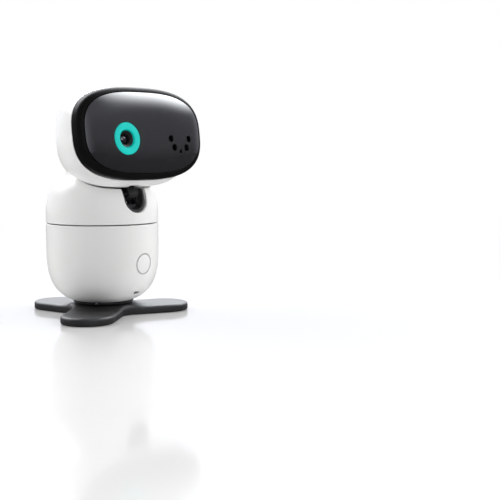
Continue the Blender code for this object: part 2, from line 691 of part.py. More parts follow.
def build_tilt_drive(turret):
    """The tilt motor and its pinion, below the arm's toothed edge."""
    distance = MODULE * (SECTOR_TEETH + PINION_TEETH) / 2 + MESH_SLACK
    y, z = polar(distance, TILT_PINION_DEG)
    motor = add_object("tilt_motor", cylinder_bm(5.7, 8.6, 19.0, 24, "X", (y, z)), STEEL, turret)
    add_bevel(motor, 0.5, 1)
    hole = add_object("tilt_shaft_hole", cylinder_bm(1.3, 5, 14, 12, "X", (y, z)), None, turret)
    add_boolean(motor, hole)
    axis = new_axis("tilt_pinion_axis", turret, (0, y, z))
    # In the (y, z) plane the sector's tooth lies towards the tilt axis, so the pinion has a gap there.
    towards = math.degrees(math.atan2(TILT_Z - z, -TILT_FORWARD - y))
    outline = gear_outline(PINION_TEETH, phase_deg=towards + 180.0 / PINION_TEETH)
    pinion = add_object(
        "tilt_pinion", plate_bm(outline, -2.4, 2.4, "X"), NATURAL_PLASTIC, axis, smooth=20
    )
    shaft = add_object("tilt_shaft", cylinder_bm(1.0, 2.0, 12.0, 12, "X"), None, axis)
    add_boolean(pinion, shaft, "UNION")


def shell_section(distance, inset):
    """Half width, half height and drop of the head's rear shell, at a distance behind its rim."""
    length = SHELL_LENGTH - inset
    k = min(1.0, distance / length)
    share = (1.0 - k**SHELL_POWER) ** (1.0 / SHELL_POWER)
    lip = math.exp(-((distance / 4.5) ** 2))
    half_width = (SHELL_HALF_WIDTH - inset) * share
    half_height = (SHELL_HALF_HEIGHT - inset) * share - 2.6 * lip
    return half_width, half_height, -SHELL_DROP * (1.0 - lip)


def shell_ring(distance, inset):
    """One ring of the rear shell's outer or inner skin, in the head's frame."""
    half_width, half_height, drop = shell_section(distance, inset)
    outline = superellipse(half_width, half_height, FACE_POWER, HEAD_STEPS)
    return [(x, -SHELL_FRONT + distance, z + drop) for x, z in outline]


def face_offset_ring(offset, y):
    """The face's outline drawn in by offset, at a distance y along the head's frame."""
    outline = superellipse(FACE_HALF_WIDTH - offset, FACE_HALF_HEIGHT - offset, FACE_POWER, HEAD_STEPS)
    return [(x, y, z) for x, z in outline]


def panel_front(x, z):
    """Depth of the face panel's crowned front at a point: it falls slowly at first, fast at the rim."""
    inside = FACE_HALF_WIDTH - PANEL_INSET, FACE_HALF_HEIGHT - PANEL_INSET
    share = (abs(x) / inside[0]) ** FACE_POWER + (abs(z) / inside[1]) ** FACE_POWER
    share = min(1.0, share) ** (1.0 / FACE_POWER)
    return -(FACE_FRONT - 0.05 + PANEL_CROWN * (1.0 - share**PANEL_POWER))


def build_head(head):
    """The tilting head, in its own frame on the tilt axis."""
    outer_at = [SHELL_LENGTH * math.sin(math.radians(a)) ** 1.25 for a in np.linspace(0, 83, 12)]
    inner_length = SHELL_LENGTH - SHELL_WALL
    inner_at = [inner_length * math.sin(math.radians(a)) ** 1.25 for a in (82, 66, 50, 34, 18, 8, 0)]
    rings = [shell_ring(distance, 0.0) for distance in outer_at[::-1]]
    rings += [shell_ring(distance, SHELL_WALL) for distance in inner_at[::-1]]
    back = (0.0, -SHELL_FRONT + SHELL_LENGTH, -SHELL_DROP)
    inner_back = (0.0, -SHELL_FRONT + SHELL_LENGTH - SHELL_WALL, -SHELL_DROP)
    shell = add_object("head_shell", loft_bm(rings, poles=(back, inner_back)), GLOSS_WHITE, head)
    arm_slot = add_object(
        "arm_slot", box_bm((-ARM_HALF - 0.4, -12.4, -40), (ARM_HALF + 0.4, 19.8, -12)), None, head
    )
    add_boolean(shell, arm_slot)

    arc_points = [(BEZEL_ROUND * (1 - math.cos(a)), -(FACE_FRONT - BEZEL_ROUND * (1 - math.sin(a))))
                  for a in np.radians([0, 20, 40, 58, 71])]
    section = [(0.0, -BEZEL_BACK), *arc_points, (3.05, -24.4), (3.05, -22.7), (5.2, -22.7)]
    section += [(5.2, -21.3), (1.9, -21.3), (1.9, -BEZEL_BACK)]
    rings = [face_offset_ring(offset, y) for offset, y in section]
    add_object("bezel", loft_bm(rings), GLOSS_BLACK, head)

    back_y = -23.0
    rings = []
    wide, tall = FACE_HALF_WIDTH - PANEL_INSET, FACE_HALF_HEIGHT - PANEL_INSET
    for share in (1.0, 0.96, 0.9, 0.8, 0.65, 0.4):
        outline = superellipse(wide * share, tall * share, FACE_POWER, HEAD_STEPS)
        rings.append([(x, panel_front(x, z), z) for x, z in outline])
    rings.insert(0, [(x, back_y, z) for x, _, z in rings[0]])
    front = (0.0, panel_front(0, 0), 0.0)
    panel = add_object("face_panel", loft_bm(rings, poles=((0.0, back_y, 0.0), front)), GLOSS_BLACK, head)
    lens_hole = add_object(
        "lens_hole", cylinder_bm(RING_OUTER + GAP, -30, -15, 36, "Y", (LENS_X, LENS_Z)), None, head
    )
    add_boolean(panel, lens_hole)
    spots = [(IR_X + dx, dz) for dx, dz in IR_SPOTS]
    for i, (x, z) in enumerate(spots):
        hole = add_object(f"ir_hole_{i}", cylinder_bm(IR_RADIUS, -30, -15, 16, "Y", (x, z)), None, head)
        add_boolean(panel, hole)
        led = [(0, 25.2), (1.0, 25.0), (1.6, 24.1), (1.6, 19.9), (0, 19.9)]
        turned(f"ir_led_{i + 1}", led, SMOKED, head, steps=14, closed=False,
               rotation=(90, 0, 0), location=(x, 0, z))
    sensor_x, sensor_z = IR_X + SENSOR_SPOT[0], SENSOR_SPOT[1]
    hole = add_object("sensor_hole", cylinder_bm(1.1, -30, -15, 12, "Y", (sensor_x, sensor_z)), None, head)
    add_boolean(panel, hole)
    add_object("light_sensor", cylinder_bm(0.8, -25.0, -19.9, 12, "Y", (sensor_x, sensor_z)), SMOKED, head)

    front_y = -panel_front(LENS_X, LENS_Z) - 0.05
    ring = [(RING_OUTER, front_y), (RING_OUTER, 21.4), (RING_INNER, 21.4), (RING_INNER, front_y - 0.5)]
    turned("light_ring", ring, GLOW, head, steps=36, rotation=(90, 0, 0), location=(LENS_X, 0, LENS_Z))
    barrel = [(0, 23.0), (3.0, 23.0), (3.4, front_y - 2.0), (4.45, front_y - 0.9), (4.45, 19.9), (0, 19.9)]
    turned("lens_barrel", barrel, SATIN_BLACK, head, steps=32, closed=False,
           rotation=(90, 0, 0), location=(LENS_X, 0, LENS_Z))
    glass = [(0, 24.6), (1.4, 24.4), (2.3, 23.9), (2.8, 23.3), (0, 23.3)]
    turned("lens_glass", glass, GLASS, head, steps=24, closed=False,
           rotation=(90, 0, 0), location=(LENS_X, 0, LENS_Z))
    outline = superellipse(37.5, 18.0, FACE_POWER, 32)
    add_object("camera_board", plate_bm(outline, -19.6, -18.2, "Y"), BOARD, head)
    build_tilt_arm(head)


def build_tilt_arm(head):
    """The toothed arm under the head. Its outline is worked out in the turret's angles and turned
    back by the head's tilt, so its teeth mesh at rest."""
    phase = TILT_PINION_DEG
    pitch_deg = 360.0 / SECTOR_TEETH
    first = math.ceil((SECTOR_FROM_DEG - phase) / pitch_deg)
    last = math.floor((SECTOR_TO_DEG - phase) / pitch_deg)
    teeth = gear_outline(SECTOR_TEETH, first, last - first + 1, phase)
    # In the head's frame forward is -Y, so an angle counts from -Y upwards.
    turn = math.radians(-TILT_UP_DEG)
    turned_teeth = [
        (x * math.cos(turn) - y * math.sin(turn), x * math.sin(turn) + y * math.cos(turn)) for x, y in teeth
    ]
    start = SECTOR_TO_DEG - TILT_UP_DEG
    end = SECTOR_FROM_DEG - TILT_UP_DEG
    top = [(20.5 * math.cos(math.radians(a)), 20.5 * math.sin(math.radians(a)))
           for a in np.linspace(start - 6, end + 6, 9)]
    outline = [(-x, z) for x, z in turned_teeth + top]
    arm = add_object("tilt_arm", plate_bm(outline, -ARM_HALF, ARM_HALF, "X"), SATIN_BLACK, head, smooth=20)
    rib = []
    for radius, angles in ((RIB_OUTER, np.linspace(start - 1, end + 1, 14)),
                           (RIB_INNER, np.linspace(end + 1, start - 1, 14))):
        rib += [(-radius * math.cos(math.radians(a)), radius * math.sin(math.radians(a))) for a in angles]
    ribs = add_object("arm_ribs", plate_bm(rib, -RIB_HALF, RIB_HALF, "X"), None, head)
    add_boolean(arm, ribs, "UNION")
    flange = add_object("arm_flange", box_bm((-9, -7.0, -20.6), (9, 6.4, -18.6)), None, head)
    add_boolean(arm, flange, "UNION")
    for i, x in enumerate((-6.4, 6.4)):
        hole = add_object(f"flange_hole_{i}", cylinder_bm(1.3, -23, -17, 12, centre=(x, 1.0)), None, head)
        add_boolean(arm, hole)
        screw(f"arm_screw_{i + 1}", x, 1.0, -23.0, -17.2, head)


def main():
    """Builds the four assemblies."""
    build_mount()
    build_base()
    turret = new_axis("pan_axis", rotation=(0, 0, PAN_DEG))
    build_turret(turret)
    head = new_axis("tilt_axis", turret, (0, -TILT_FORWARD, TILT_Z), (-TILT_UP_DEG, 0, 0))
    build_head(head)


main()
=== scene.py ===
"""Looks of a baby monitor camera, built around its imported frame.

Sizes are in millimetres in three frames: the object's own, the turret's, turned about Z, and the
head's, which has its origin on the tilt axis and looks along -Y. Shapes are surfaces of two
parameters worked out as numpy arrays; MM turns them into metres when a mesh is made.
"""

from __future__ import annotations

import json
import logging
import math
from dataclasses import dataclass
from enum import Enum
from typing import Sequence

import bmesh
import bpy
import numpy as np
from mathutils import Matrix

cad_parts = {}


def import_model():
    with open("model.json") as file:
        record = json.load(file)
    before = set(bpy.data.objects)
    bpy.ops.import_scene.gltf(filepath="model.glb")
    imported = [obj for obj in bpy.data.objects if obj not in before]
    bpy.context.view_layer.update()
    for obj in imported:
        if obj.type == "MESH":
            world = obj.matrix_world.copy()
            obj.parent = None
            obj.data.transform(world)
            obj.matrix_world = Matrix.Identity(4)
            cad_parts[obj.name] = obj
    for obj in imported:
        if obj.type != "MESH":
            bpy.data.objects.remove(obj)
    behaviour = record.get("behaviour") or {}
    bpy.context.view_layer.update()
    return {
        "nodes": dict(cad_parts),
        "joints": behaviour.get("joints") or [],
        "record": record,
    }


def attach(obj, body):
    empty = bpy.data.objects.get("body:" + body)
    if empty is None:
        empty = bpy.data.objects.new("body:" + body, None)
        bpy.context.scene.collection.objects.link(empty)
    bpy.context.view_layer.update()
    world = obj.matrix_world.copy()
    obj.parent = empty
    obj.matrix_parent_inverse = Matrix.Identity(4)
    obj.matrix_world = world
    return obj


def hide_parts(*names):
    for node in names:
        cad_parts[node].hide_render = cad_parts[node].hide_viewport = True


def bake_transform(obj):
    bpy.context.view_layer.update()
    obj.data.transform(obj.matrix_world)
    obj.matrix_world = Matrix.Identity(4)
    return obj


MM = 0.001
LOG = logging.getLogger("baby_monitor_camera")


# ---------------------------------------------------------------- shader maths and nodes


class Value:
    """A number in a shader. Operators on it add Math nodes."""

    def __init__(self, graph: "Graph", socket: bpy.types.NodeSocket) -> None:
        """Keeps the socket and the graph that new nodes go to."""
        self.graph = graph
        self.socket = socket

    def _math(self, operation: str, *terms: "Value | float") -> "Value":
        """One Math node on the given terms."""
        node = self.graph.node("ShaderNodeMath", {"operation": operation}, dict(enumerate(terms)))
        return Value(self.graph, node.outputs[0])

    def __add__(self, other: "Value | float") -> "Value":
        """Sum."""
        return self._math("ADD", self, other)

    def __radd__(self, other: float) -> "Value":
        """Sum with a plain number on the left."""
        return self._math("ADD", other, self)

    def __sub__(self, other: "Value | float") -> "Value":
        """Difference."""
        return self._math("SUBTRACT", self, other)

    def __rsub__(self, other: float) -> "Value":
        """Plain number minus this value."""
        return self._math("SUBTRACT", other, self)

    def __mul__(self, other: "Value | float") -> "Value":
        """Product."""
        return self._math("MULTIPLY", self, other)

    def __rmul__(self, other: float) -> "Value":
        """Product with a plain number on the left."""
        return self._math("MULTIPLY", other, self)

    def __pow__(self, other: float) -> "Value":
        """Power."""
        return self._math("POWER", self, other)

    def __abs__(self) -> "Value":
        """Size without its sign."""
        return self._math("ABSOLUTE", self)

    def sine(self) -> "Value":
        """Sine of the value."""
        return self._math("SINE", self)

    def ramp(self, start: float, end: float) -> "Value":
        """0 before start, 1 after end, and a smooth step between them."""
        settings = {"interpolation_type": "SMOOTHSTEP"}
        sockets = {"Value": self, "From Min": start, "From Max": end}
        node = self.graph.node("ShaderNodeMapRange", settings, sockets)
        return Value(self.graph, node.outputs[0])


class Graph:
    """The node tree of one material or world."""

    def __init__(self, tree: bpy.types.NodeTree) -> None:
        """Starts from an empty tree."""
        self.tree = tree
        tree.nodes.clear()

    def node(
        self, kind: str, settings: dict | None = None, sockets: dict | None = None
    ) -> bpy.types.Node:
        """Adds a node.

        Args:
            kind: The node's type.
            settings: Its own settings, set first. "stops" holds a ramp's (place, colour) pairs.
            sockets: Values, links or Value objects for its input sockets, by name or number.

        Returns:
            The new node.
        """
        node = self.tree.nodes.new(kind)
        for name, value in (settings or {}).items():
            if name == "stops":
                self._set_stops(node.color_ramp, value)
            else:
                setattr(node, name, value)
        for name, value in (sockets or {}).items():
            self._feed(node.inputs[name], value)
        return node

    def _set_stops(self, ramp: bpy.types.ColorRamp, stops: Sequence[tuple]) -> None:
        """Writes a colour ramp's stops."""
        while len(ramp.elements) < len(stops):
            ramp.elements.new(0.5)
        for element, (place, colour) in zip(ramp.elements, stops):
            element.position = place
            element.color = (*colour, 1.0)

    def _feed(self, socket: bpy.types.NodeSocket, value: object) -> None:
        """Links or sets one input socket."""
        if isinstance(value, Value):
            value = value.socket
        if isinstance(value, bpy.types.NodeSocket):
            self.tree.links.new(value, socket)
        elif isinstance(value, tuple) and len(value) == 3 and socket.type == "RGBA":
            socket.default_value = (*value, 1.0)
        else:
            socket.default_value = value

    def place(self) -> tuple[bpy.types.NodeSocket, Value, Value, Value]:
        """The point's own coordinates in metres: the vector and its three parts."""
        vector = self.node("ShaderNodeTexCoord").outputs["Object"]
        parts = self.node("ShaderNodeSeparateXYZ", sockets={0: vector})
        return vector, *(Value(self, parts.outputs[i]) for i in range(3))

    def noise(self, vector: object, per_metre: float, detail: float = 3.0) -> Value:
        """Fractal noise from 0 to 1, with a number of lumps per metre."""
        sockets = {"Vector": vector, "Scale": per_metre, "Detail": detail, "Roughness": 0.55}
        return Value(self, self.node("ShaderNodeTexNoise", sockets=sockets).outputs[0])

    def mixed(self, factor: Value | float, first: object, second: object) -> bpy.types.NodeSocket:
        """A colour between two, by a factor from 0 to 1."""
        settings = {"data_type": "RGBA"}
        node = self.node("ShaderNodeMix", settings, {0: factor, 6: first, 7: second})
        return node.outputs[2]

    def bump(self, height: Value, depth: float, strength: float = 1.0) -> bpy.types.NodeSocket:
        """A bumped normal from a height of 0 to 1 and its depth in metres."""
        sockets = {"Height": height, "Distance": depth, "Strength": strength}
        return self.node("ShaderNodeBump", sockets=sockets).outputs[0]


class Pattern(Enum):
    """What a finish's surface carries besides its fine grain."""

    PLAIN = "plain"
    RUBBER = "rubber"
    BOARD = "board"
    TURNED = "turned"
    POLISHED = "polished"
    GLOW = "glow"


@dataclass(frozen=True)
class Finish:
    """One material: its colour, gloss and grain."""

    slot: str
    colour: tuple[float, float, float]
    roughness: float
    metallic: float = 0.0
    coat: float = 0.0
    coat_roughness: float = 0.05
    ior: float = 1.5
    specular: float = 0.5
    grain_per_mm: float = 1.2
    grain_depth: float = 0.004
    mottle: float = 0.02
    pattern: Pattern = Pattern.PLAIN
    glow: float = 0.0
    glow_colour: tuple[float, float, float] = (0.0, 0.0, 0.0)

    def material(self, name: str | None = None) -> bpy.types.Material:
        """Makes the material, or returns the one made before.

        Args:
            name: The material's name, or None for the slot's name.

        Returns:
            The material.
        """
        name = name or self.slot
        made = bpy.data.materials.get(name + "_finish")
        if made is not None:
            return made
        made = bpy.data.materials.new(name + "_finish")
        made.use_nodes = True
        graph = Graph(made.node_tree)
        vector, x, y, z = graph.place()
        fine = graph.noise(vector, self.grain_per_mm * 1000.0, 4.0)
        broad = graph.noise(vector, 55.0, 2.0)
        colour, roughness, height = self._surface(graph, (x, y, z), vector, fine, broad)
        sockets = {
            "Base Color": colour,
            "Roughness": roughness,
            "Metallic": self.metallic,
            "IOR": self.ior,
            "Specular IOR Level": self.specular,
            "Coat Weight": self.coat,
            "Coat Roughness": self.coat_roughness,
            "Normal": graph.bump(height, self.grain_depth * MM),
        }
        if self.glow > 0.0:
            sockets["Emission Color"] = self._glow(graph, vector)
            sockets["Emission Strength"] = self.glow
        shader = graph.node("ShaderNodeBsdfPrincipled", sockets=sockets)
        graph.node("ShaderNodeOutputMaterial", sockets={"Surface": shader.outputs[0]})
        return made

    def _shade(self, share: float) -> tuple[float, float, float]:
        """The finish's colour, lighter or darker."""
        red, green, blue = (min(1.0, part * share) for part in self.colour)
        return red, green, blue

    def _surface(
        self, graph: Graph, place: tuple[Value, Value, Value], vector: object, fine: Value, broad: Value
    ) -> tuple[object, Value, Value]:
        """Colour, roughness and bump height for this finish's pattern.

        Args:
            graph: The material's node tree.
            place: The point's own x, y and z.
            vector: The same point as one vector.
            fine: Fine noise, from 0 to 1.
            broad: Broad noise, from 0 to 1.

        Returns:
            The colour's socket, the roughness and the height from 0 to 1.
        """
        x, y, z = place
        colour = graph.mixed(broad, self._shade(1.0 - self.mottle), self._shade(1.0 + self.mottle))
        roughness = self.roughness + (fine - 0.5) * 0.06 + (broad - 0.5) * 0.04
        height = fine
        if self.pattern is Pattern.RUBBER:
            pores = graph.noise(vector, 5200.0, 2.0)
            dust = (broad * 0.6 + fine * 0.4).ramp(0.5, 0.8)
            colour = graph.mixed(dust, colour, self._shade(1.9))
            height = pores * 0.6 + fine * 0.4
        elif self.pattern is Pattern.BOARD:
            lines = abs((x * 5200.0).sine()) ** 8.0 + abs((z * 5200.0 + y * 3900.0).sine()) ** 8.0
            tracks = (lines + (broad - 0.5) * 0.8).ramp(0.75, 1.0)
            colour = graph.mixed(tracks, self._shade(0.8), self._shade(2.2))
            height = tracks * 0.7 + fine * 0.3
        elif self.pattern is Pattern.TURNED:
            squeezed = graph.node(
                "ShaderNodeMapping", sockets={"Vector": vector, "Scale": (1.0, 1.0, 14.0)}
            ).outputs[0]
            brushed = graph.noise(squeezed, 900.0, 5.0)
            roughness = roughness + (brushed - 0.5) * 0.25
            height = brushed
        elif self.pattern is Pattern.POLISHED:
            smears = graph.noise(vector, 140.0, 5.0).ramp(0.45, 0.8)
            roughness = self.roughness + smears * 0.05
            height = graph.noise(vector, 60.0, 1.0)
        return colour, roughness, height

    def _glow(self, graph: Graph, vector: object) -> bpy.types.NodeSocket:
        """The light guide's glow, a little uneven as the lamps behind it are."""
        lamps = graph.noise(vector, 220.0, 1.0).ramp(0.25, 0.75)
        dim = tuple(part * 0.84 for part in self.glow_colour)
        return graph.mixed(lamps, dim, self.glow_colour)


SHELL_WHITE = Finish("gloss_white", (0.80, 0.80, 0.79), 0.30, coat=0.2, coat_roughness=0.08, specular=0.3,
                     grain_per_mm=0.35, grain_depth=0.0025, mottle=0.008)
PANEL_BLACK = Finish("gloss_black", (0.007, 0.007, 0.009), 0.15, ior=1.75, coat=1.0, coat_roughness=0.06,
                     grain_depth=0.0008, pattern=Pattern.POLISHED)
BEZEL_BLACK = Finish("gloss_black", (0.006, 0.006, 0.006), 0.30, specular=0.03,
                     grain_per_mm=2.0, grain_depth=0.0015)
SATIN_BLACK = Finish("satin_black", (0.016, 0.016, 0.017), 0.42, grain_per_mm=2.2, grain_depth=0.01)
LINER_BLACK = Finish("satin_black", (0.050, 0.050, 0.052), 0.34, coat=0.3, coat_roughness=0.2,
                     grain_per_mm=2.4, grain_depth=0.02)
RUBBER = Finish("black_rubber", (0.017, 0.017, 0.018), 0.50, grain_per_mm=1.4, grain_depth=0.02,
                pattern=Pattern.RUBBER)
GREY = Finish("grey_plastic", (0.42, 0.42, 0.42), 0.38, grain_per_mm=1.6, grain_depth=0.004)
NATURAL = Finish("natural_plastic", (0.74, 0.73, 0.67), 0.42, grain_per_mm=1.0, grain_depth=0.006)
GLOW = Finish("teal_light_guide", (0.002, 0.38, 0.34), 0.42, ior=1.25, grain_depth=0.002,
              pattern=Pattern.GLOW, glow=0.36, glow_colour=(0.0, 0.66, 0.58))
LENS = Finish("lens_glass", (0.012, 0.010, 0.018), 0.05, coat=1.0, coat_roughness=0.02, ior=1.7,
              grain_depth=0.0002, pattern=Pattern.POLISHED)
SMOKED = Finish("smoked_window", (0.006, 0.005, 0.007), 0.12, coat=0.8, grain_depth=0.0008,
                pattern=Pattern.POLISHED)
BOARD = Finish("circuit_board", (0.02, 0.13, 0.06), 0.38, coat=0.3, grain_depth=0.02,
               pattern=Pattern.BOARD)
STEEL = Finish("steel", (0.34, 0.34, 0.36), 0.42, metallic=1.0, grain_depth=0.004,
               pattern=Pattern.TURNED)
SLOT_FINISHES = {
    finish.slot: finish
    for finish in (SHELL_WHITE, PANEL_BLACK, SATIN_BLACK, RUBBER, GREY, NATURAL, GLOW, LENS, SMOKED,
                   BOARD, STEEL)
}


# ---------------------------------------------------------------- meshes from arrays


def mesh_from_grid(
    name: str, points: np.ndarray, loop_rows: bool = False, loop_columns: bool = True,
    caps: bool = False,
) -> bpy.types.Object:
    """Turns a grid of points into a closed, smooth, outward-facing mesh object.

    Args:
        name: The object's name.
        points: Array of rows x columns x 3, in millimetres. A row whose points coincide is a pole.
        loop_rows: Whether the last row joins the first.
        loop_columns: Whether the last column joins the first.
        caps: Whether to fill the first and last rows with a face each.

    Returns:
        The object, linked to the scene.
    """
    rows, columns, _ = points.shape
    index = np.arange(rows * columns).reshape(rows, columns)
    lower = index if loop_rows else index[:-1]
    upper = np.roll(index, -1, 0) if loop_rows else index[1:]
    if not loop_columns:
        lower_next, upper_next = lower[:, 1:], upper[:, 1:]
        lower, upper = lower[:, :-1], upper[:, :-1]
    else:
        lower_next, upper_next = np.roll(lower, -1, 1), np.roll(upper, -1, 1)
    quads = np.stack([lower, lower_next, upper_next, upper], -1).reshape(-1, 4)
    faces = quads.tolist()
    if caps:
        faces += [index[0][::-1].tolist(), index[-1].tolist()]
    mesh = bpy.data.meshes.new(name)
    mesh.from_pydata((points.reshape(-1, 3) * MM).tolist(), [], faces)
    tidy_mesh(mesh)
    obj = bpy.data.objects.new(name, mesh)
    bpy.context.scene.collection.objects.link(obj)
    return obj


def tidy_mesh(mesh: bpy.types.Mesh, sharp_deg: float = 38.0) -> None:
    """Merges doubled points, drops collapsed faces, turns faces outwards and shades smoothly."""
    work = bmesh.new()
    work.from_mesh(mesh)
    bmesh.ops.remove_doubles(work, verts=work.verts, dist=0.002 * MM)
    bmesh.ops.dissolve_degenerate(work, edges=work.edges, dist=0.0005 * MM)
    bmesh.ops.recalc_face_normals(work, faces=work.faces)
    if work.calc_volume(signed=True) < 0.0:
        bmesh.ops.reverse_faces(work, faces=work.faces)
    work.to_mesh(mesh)
    work.free()
    mesh.shade_smooth()
    mesh.set_sharp_from_angle(angle=math.radians(sharp_deg))


def carve(obj: bpy.types.Object, cutters: Sequence[bpy.types.Object], keep: str = "DIFFERENCE") -> None:
    """Cuts each cutter from an object, or joins it on, bakes the result and removes the cutters.

    Args:
        obj: The object to cut.
        cutters: Closed meshes.
        keep: DIFFERENCE, INTERSECT or UNION.
    """
    for cutter in cutters:
        modifier = obj.modifiers.new(cutter.name, "BOOLEAN")
        modifier.operation = keep
        modifier.solver = "EXACT"
        modifier.object = cutter
    graph = bpy.context.evaluated_depsgraph_get()
    baked = bpy.data.meshes.new_from_object(obj.evaluated_get(graph), depsgraph=graph)
    obj.modifiers.clear()
    old = obj.data
    obj.data = baked
    bpy.data.meshes.remove(old)
    baked.name = obj.name
    for cutter in cutters:
        mesh = cutter.data
        bpy.data.objects.remove(cutter)
        bpy.data.meshes.remove(mesh)
    baked.shade_smooth()
    baked.set_sharp_from_angle(angle=math.radians(38.0))


def revolve(profile: np.ndarray, steps: int) -> np.ndarray:
    """Turns a profile of (radius, height) pairs round Z: x and y are the radius times the cosine and
    sine of the turn, and z is the height."""
    turn = np.linspace(0.0, 2.0 * math.pi, steps, endpoint=False)
    radius, height = profile[:, :1], profile[:, 1:]
    return np.stack(
        [radius * np.cos(turn), radius * np.sin(turn), height + 0.0 * turn], axis=-1
    )


def arc(centre: tuple[float, float], radius: float, start: float, end: float, count: int) -> np.ndarray:
    """Points of an arc between two angles in degrees, ends included."""
    turn = np.radians(np.linspace(start, end, count))
    return np.stack([centre[0] + radius * np.cos(turn), centre[1] + radius * np.sin(turn)], -1)


def joined(*runs: Sequence) -> np.ndarray:
    """One (count, 2) array from several runs of points."""
    return np.concatenate([np.atleast_2d(np.asarray(run, float)) for run in runs])


def stadium(half_length: float, radius: float, count: int, upright: bool = False) -> np.ndarray:
    """A slot's outline: two half circles joined by straight sides, round the origin."""
    outline = joined(arc((half_length, 0), radius, -90, 90, count),
                     arc((-half_length, 0), radius, 90, 270, count))
    return outline[:, ::-1] if upright else outline


def superellipse(half_width: float, half_height: float, power: float, count: int) -> np.ndarray:
    """A superellipse's outline: each point lies along (width cos t, height sin t), scaled until the
    powers of its two shares add up to one."""
    turn = np.linspace(0.0, 2.0 * math.pi, count, endpoint=False)
    cosine, sine = np.cos(turn), np.sin(turn)
    scale = (np.abs(cosine) ** power + np.abs(sine) ** power) ** (-1.0 / power)
    return np.stack([half_width * scale * cosine, half_height * scale * sine], -1)


def prism(name: str, outline: np.ndarray, low: float, high: float, axis: str = "Z") -> bpy.types.Object:
    """A closed bar: an outline pushed from low to high along an axis."""
    ends = []
    for level in (low, high):
        flat = np.full(len(outline), level)
        order = {"X": (flat, outline[:, 0], outline[:, 1]), "Y": (outline[:, 0], flat, outline[:, 1]),
                 "Z": (outline[:, 0], outline[:, 1], flat)}[axis]
        ends.append(np.stack(order, -1))
    return mesh_from_grid(name, np.array(ends), caps=True)


def settle(obj: bpy.types.Object, matrix: Matrix) -> bpy.types.Object:
    """Puts a frame's place into the mesh, so that the object stays at the origin.

    Args:
        obj: An object whose mesh is in metres in its own frame.
        matrix: The frame, with its shift in millimetres.

    Returns:
        The same object.
    """
    metres = matrix.copy()
    metres.translation = matrix.translation * MM
    obj.data.transform(metres)
    return obj


def soft_least(first: np.ndarray, second: np.ndarray, width: float) -> np.ndarray:
    """The smaller of two heights, with the corner between them rounded over a width."""
    share = np.clip(0.5 + 0.5 * (second - first) / width, 0.0, 1.0)
    return second * (1.0 - share) + first * share - width * share * (1.0 - share)


# ---------------------------------------------------------------- the object's measures


@dataclass(frozen=True)
class BodyShape:
    """The capsule of the body: a lower shell that stands still and an upper one that turns."""

    radius: float = 32.5
    bottom: float = 6.75
    bottom_curve: float = 34.5
    bottom_power: float = 3.05
    shoulder_start: float = 55.3
    shoulder_height: float = 29.3
    shoulder_power: float = 2.79
    seam_z: float = 53.55
    seam_half: float = 0.3
    wall: float = 1.8
    top: float = 80.5
    neck_radius: float = 20.6
    neck_top: float = 85.2
    neck_round: float = 2.0
    opening: float = 17.8

    def lower_radius(self, z: np.ndarray) -> np.ndarray:
        """Outer radius below the straight part: a superellipse that closes towards the bottom."""
        depth = np.clip(1.0 - (z - self.bottom) / self.bottom_curve, 0.0, 1.0)
        return self.radius * (1.0 - depth**self.bottom_power) ** (1.0 / self.bottom_power)

    def upper_radius(self, z: np.ndarray) -> np.ndarray:
        """Outer radius above the straight part: a superellipse that closes towards the top."""
        rise = np.clip((z - self.shoulder_start) / self.shoulder_height, 0.0, 1.0)
        return self.radius * (1.0 - rise**self.shoulder_power) ** (1.0 / self.shoulder_power)


@dataclass(frozen=True)
class HeadShape:
    """The head: its face outline, bezel and rear shell, on the tilt axis."""

    up_deg: float = 7.0
    down_limit: float = 2.5
    up_limit: float = 32.0
    clearance: float = 0.28
    face_half_width: float = 44.3
    face_half_height: float = 25.75
    power: float = 2.83
    face_front: float = 24.95
    bezel_back: float = 17.45
    bezel_round: float = 4.1
    shell_front: float = 17.15
    shell_length: float = 42.3
    shell_half_width: float = 44.05
    shell_half_height: float = 28.62
    shell_power: float = 2.1
    shell_drop: float = 0.62
    shell_wall: float = 1.9
    lip_depth: float = 2.6
    lip_reach: float = 4.5

    def reach(self, x: float, degrees: np.ndarray) -> np.ndarray:
        """Distance from the tilt axis to the head's outside: the farthest point of a ray that is
        inside the shell or the bezel.

        Args:
            x: The plane's place along the tilt axis.
            degrees: The rays' angles from straight ahead.

        Returns:
            One distance for each angle.
        """
        radii = np.linspace(0.0, 40.0, 801)
        turn = np.radians(degrees)[:, None]
        forward, up = radii * np.cos(turn), radii * np.sin(turn)
        behind = self.shell_front - forward
        share = 1.0 - np.clip(behind / self.shell_length, 0.0, 1.0) ** self.shell_power
        share = np.maximum(share, 1e-9) ** (1.0 / self.shell_power)
        section = (abs(x) / (self.shell_half_width * share)) ** self.power
        section += (np.abs(up + self.shell_drop) / (self.shell_half_height * share)) ** self.power
        in_shell = (behind >= 0.0) & (section < 1.0)
        outline = (abs(x) / self.face_half_width) ** self.power
        outline = outline + (np.abs(up) / self.face_half_height) ** self.power
        in_bezel = (behind < 0.0) & (forward < self.face_front) & (outline < 1.0)
        return np.max(np.where(in_shell | in_bezel, radii, 0.0), axis=1)


BODY = BodyShape()
HEAD = HeadShape()


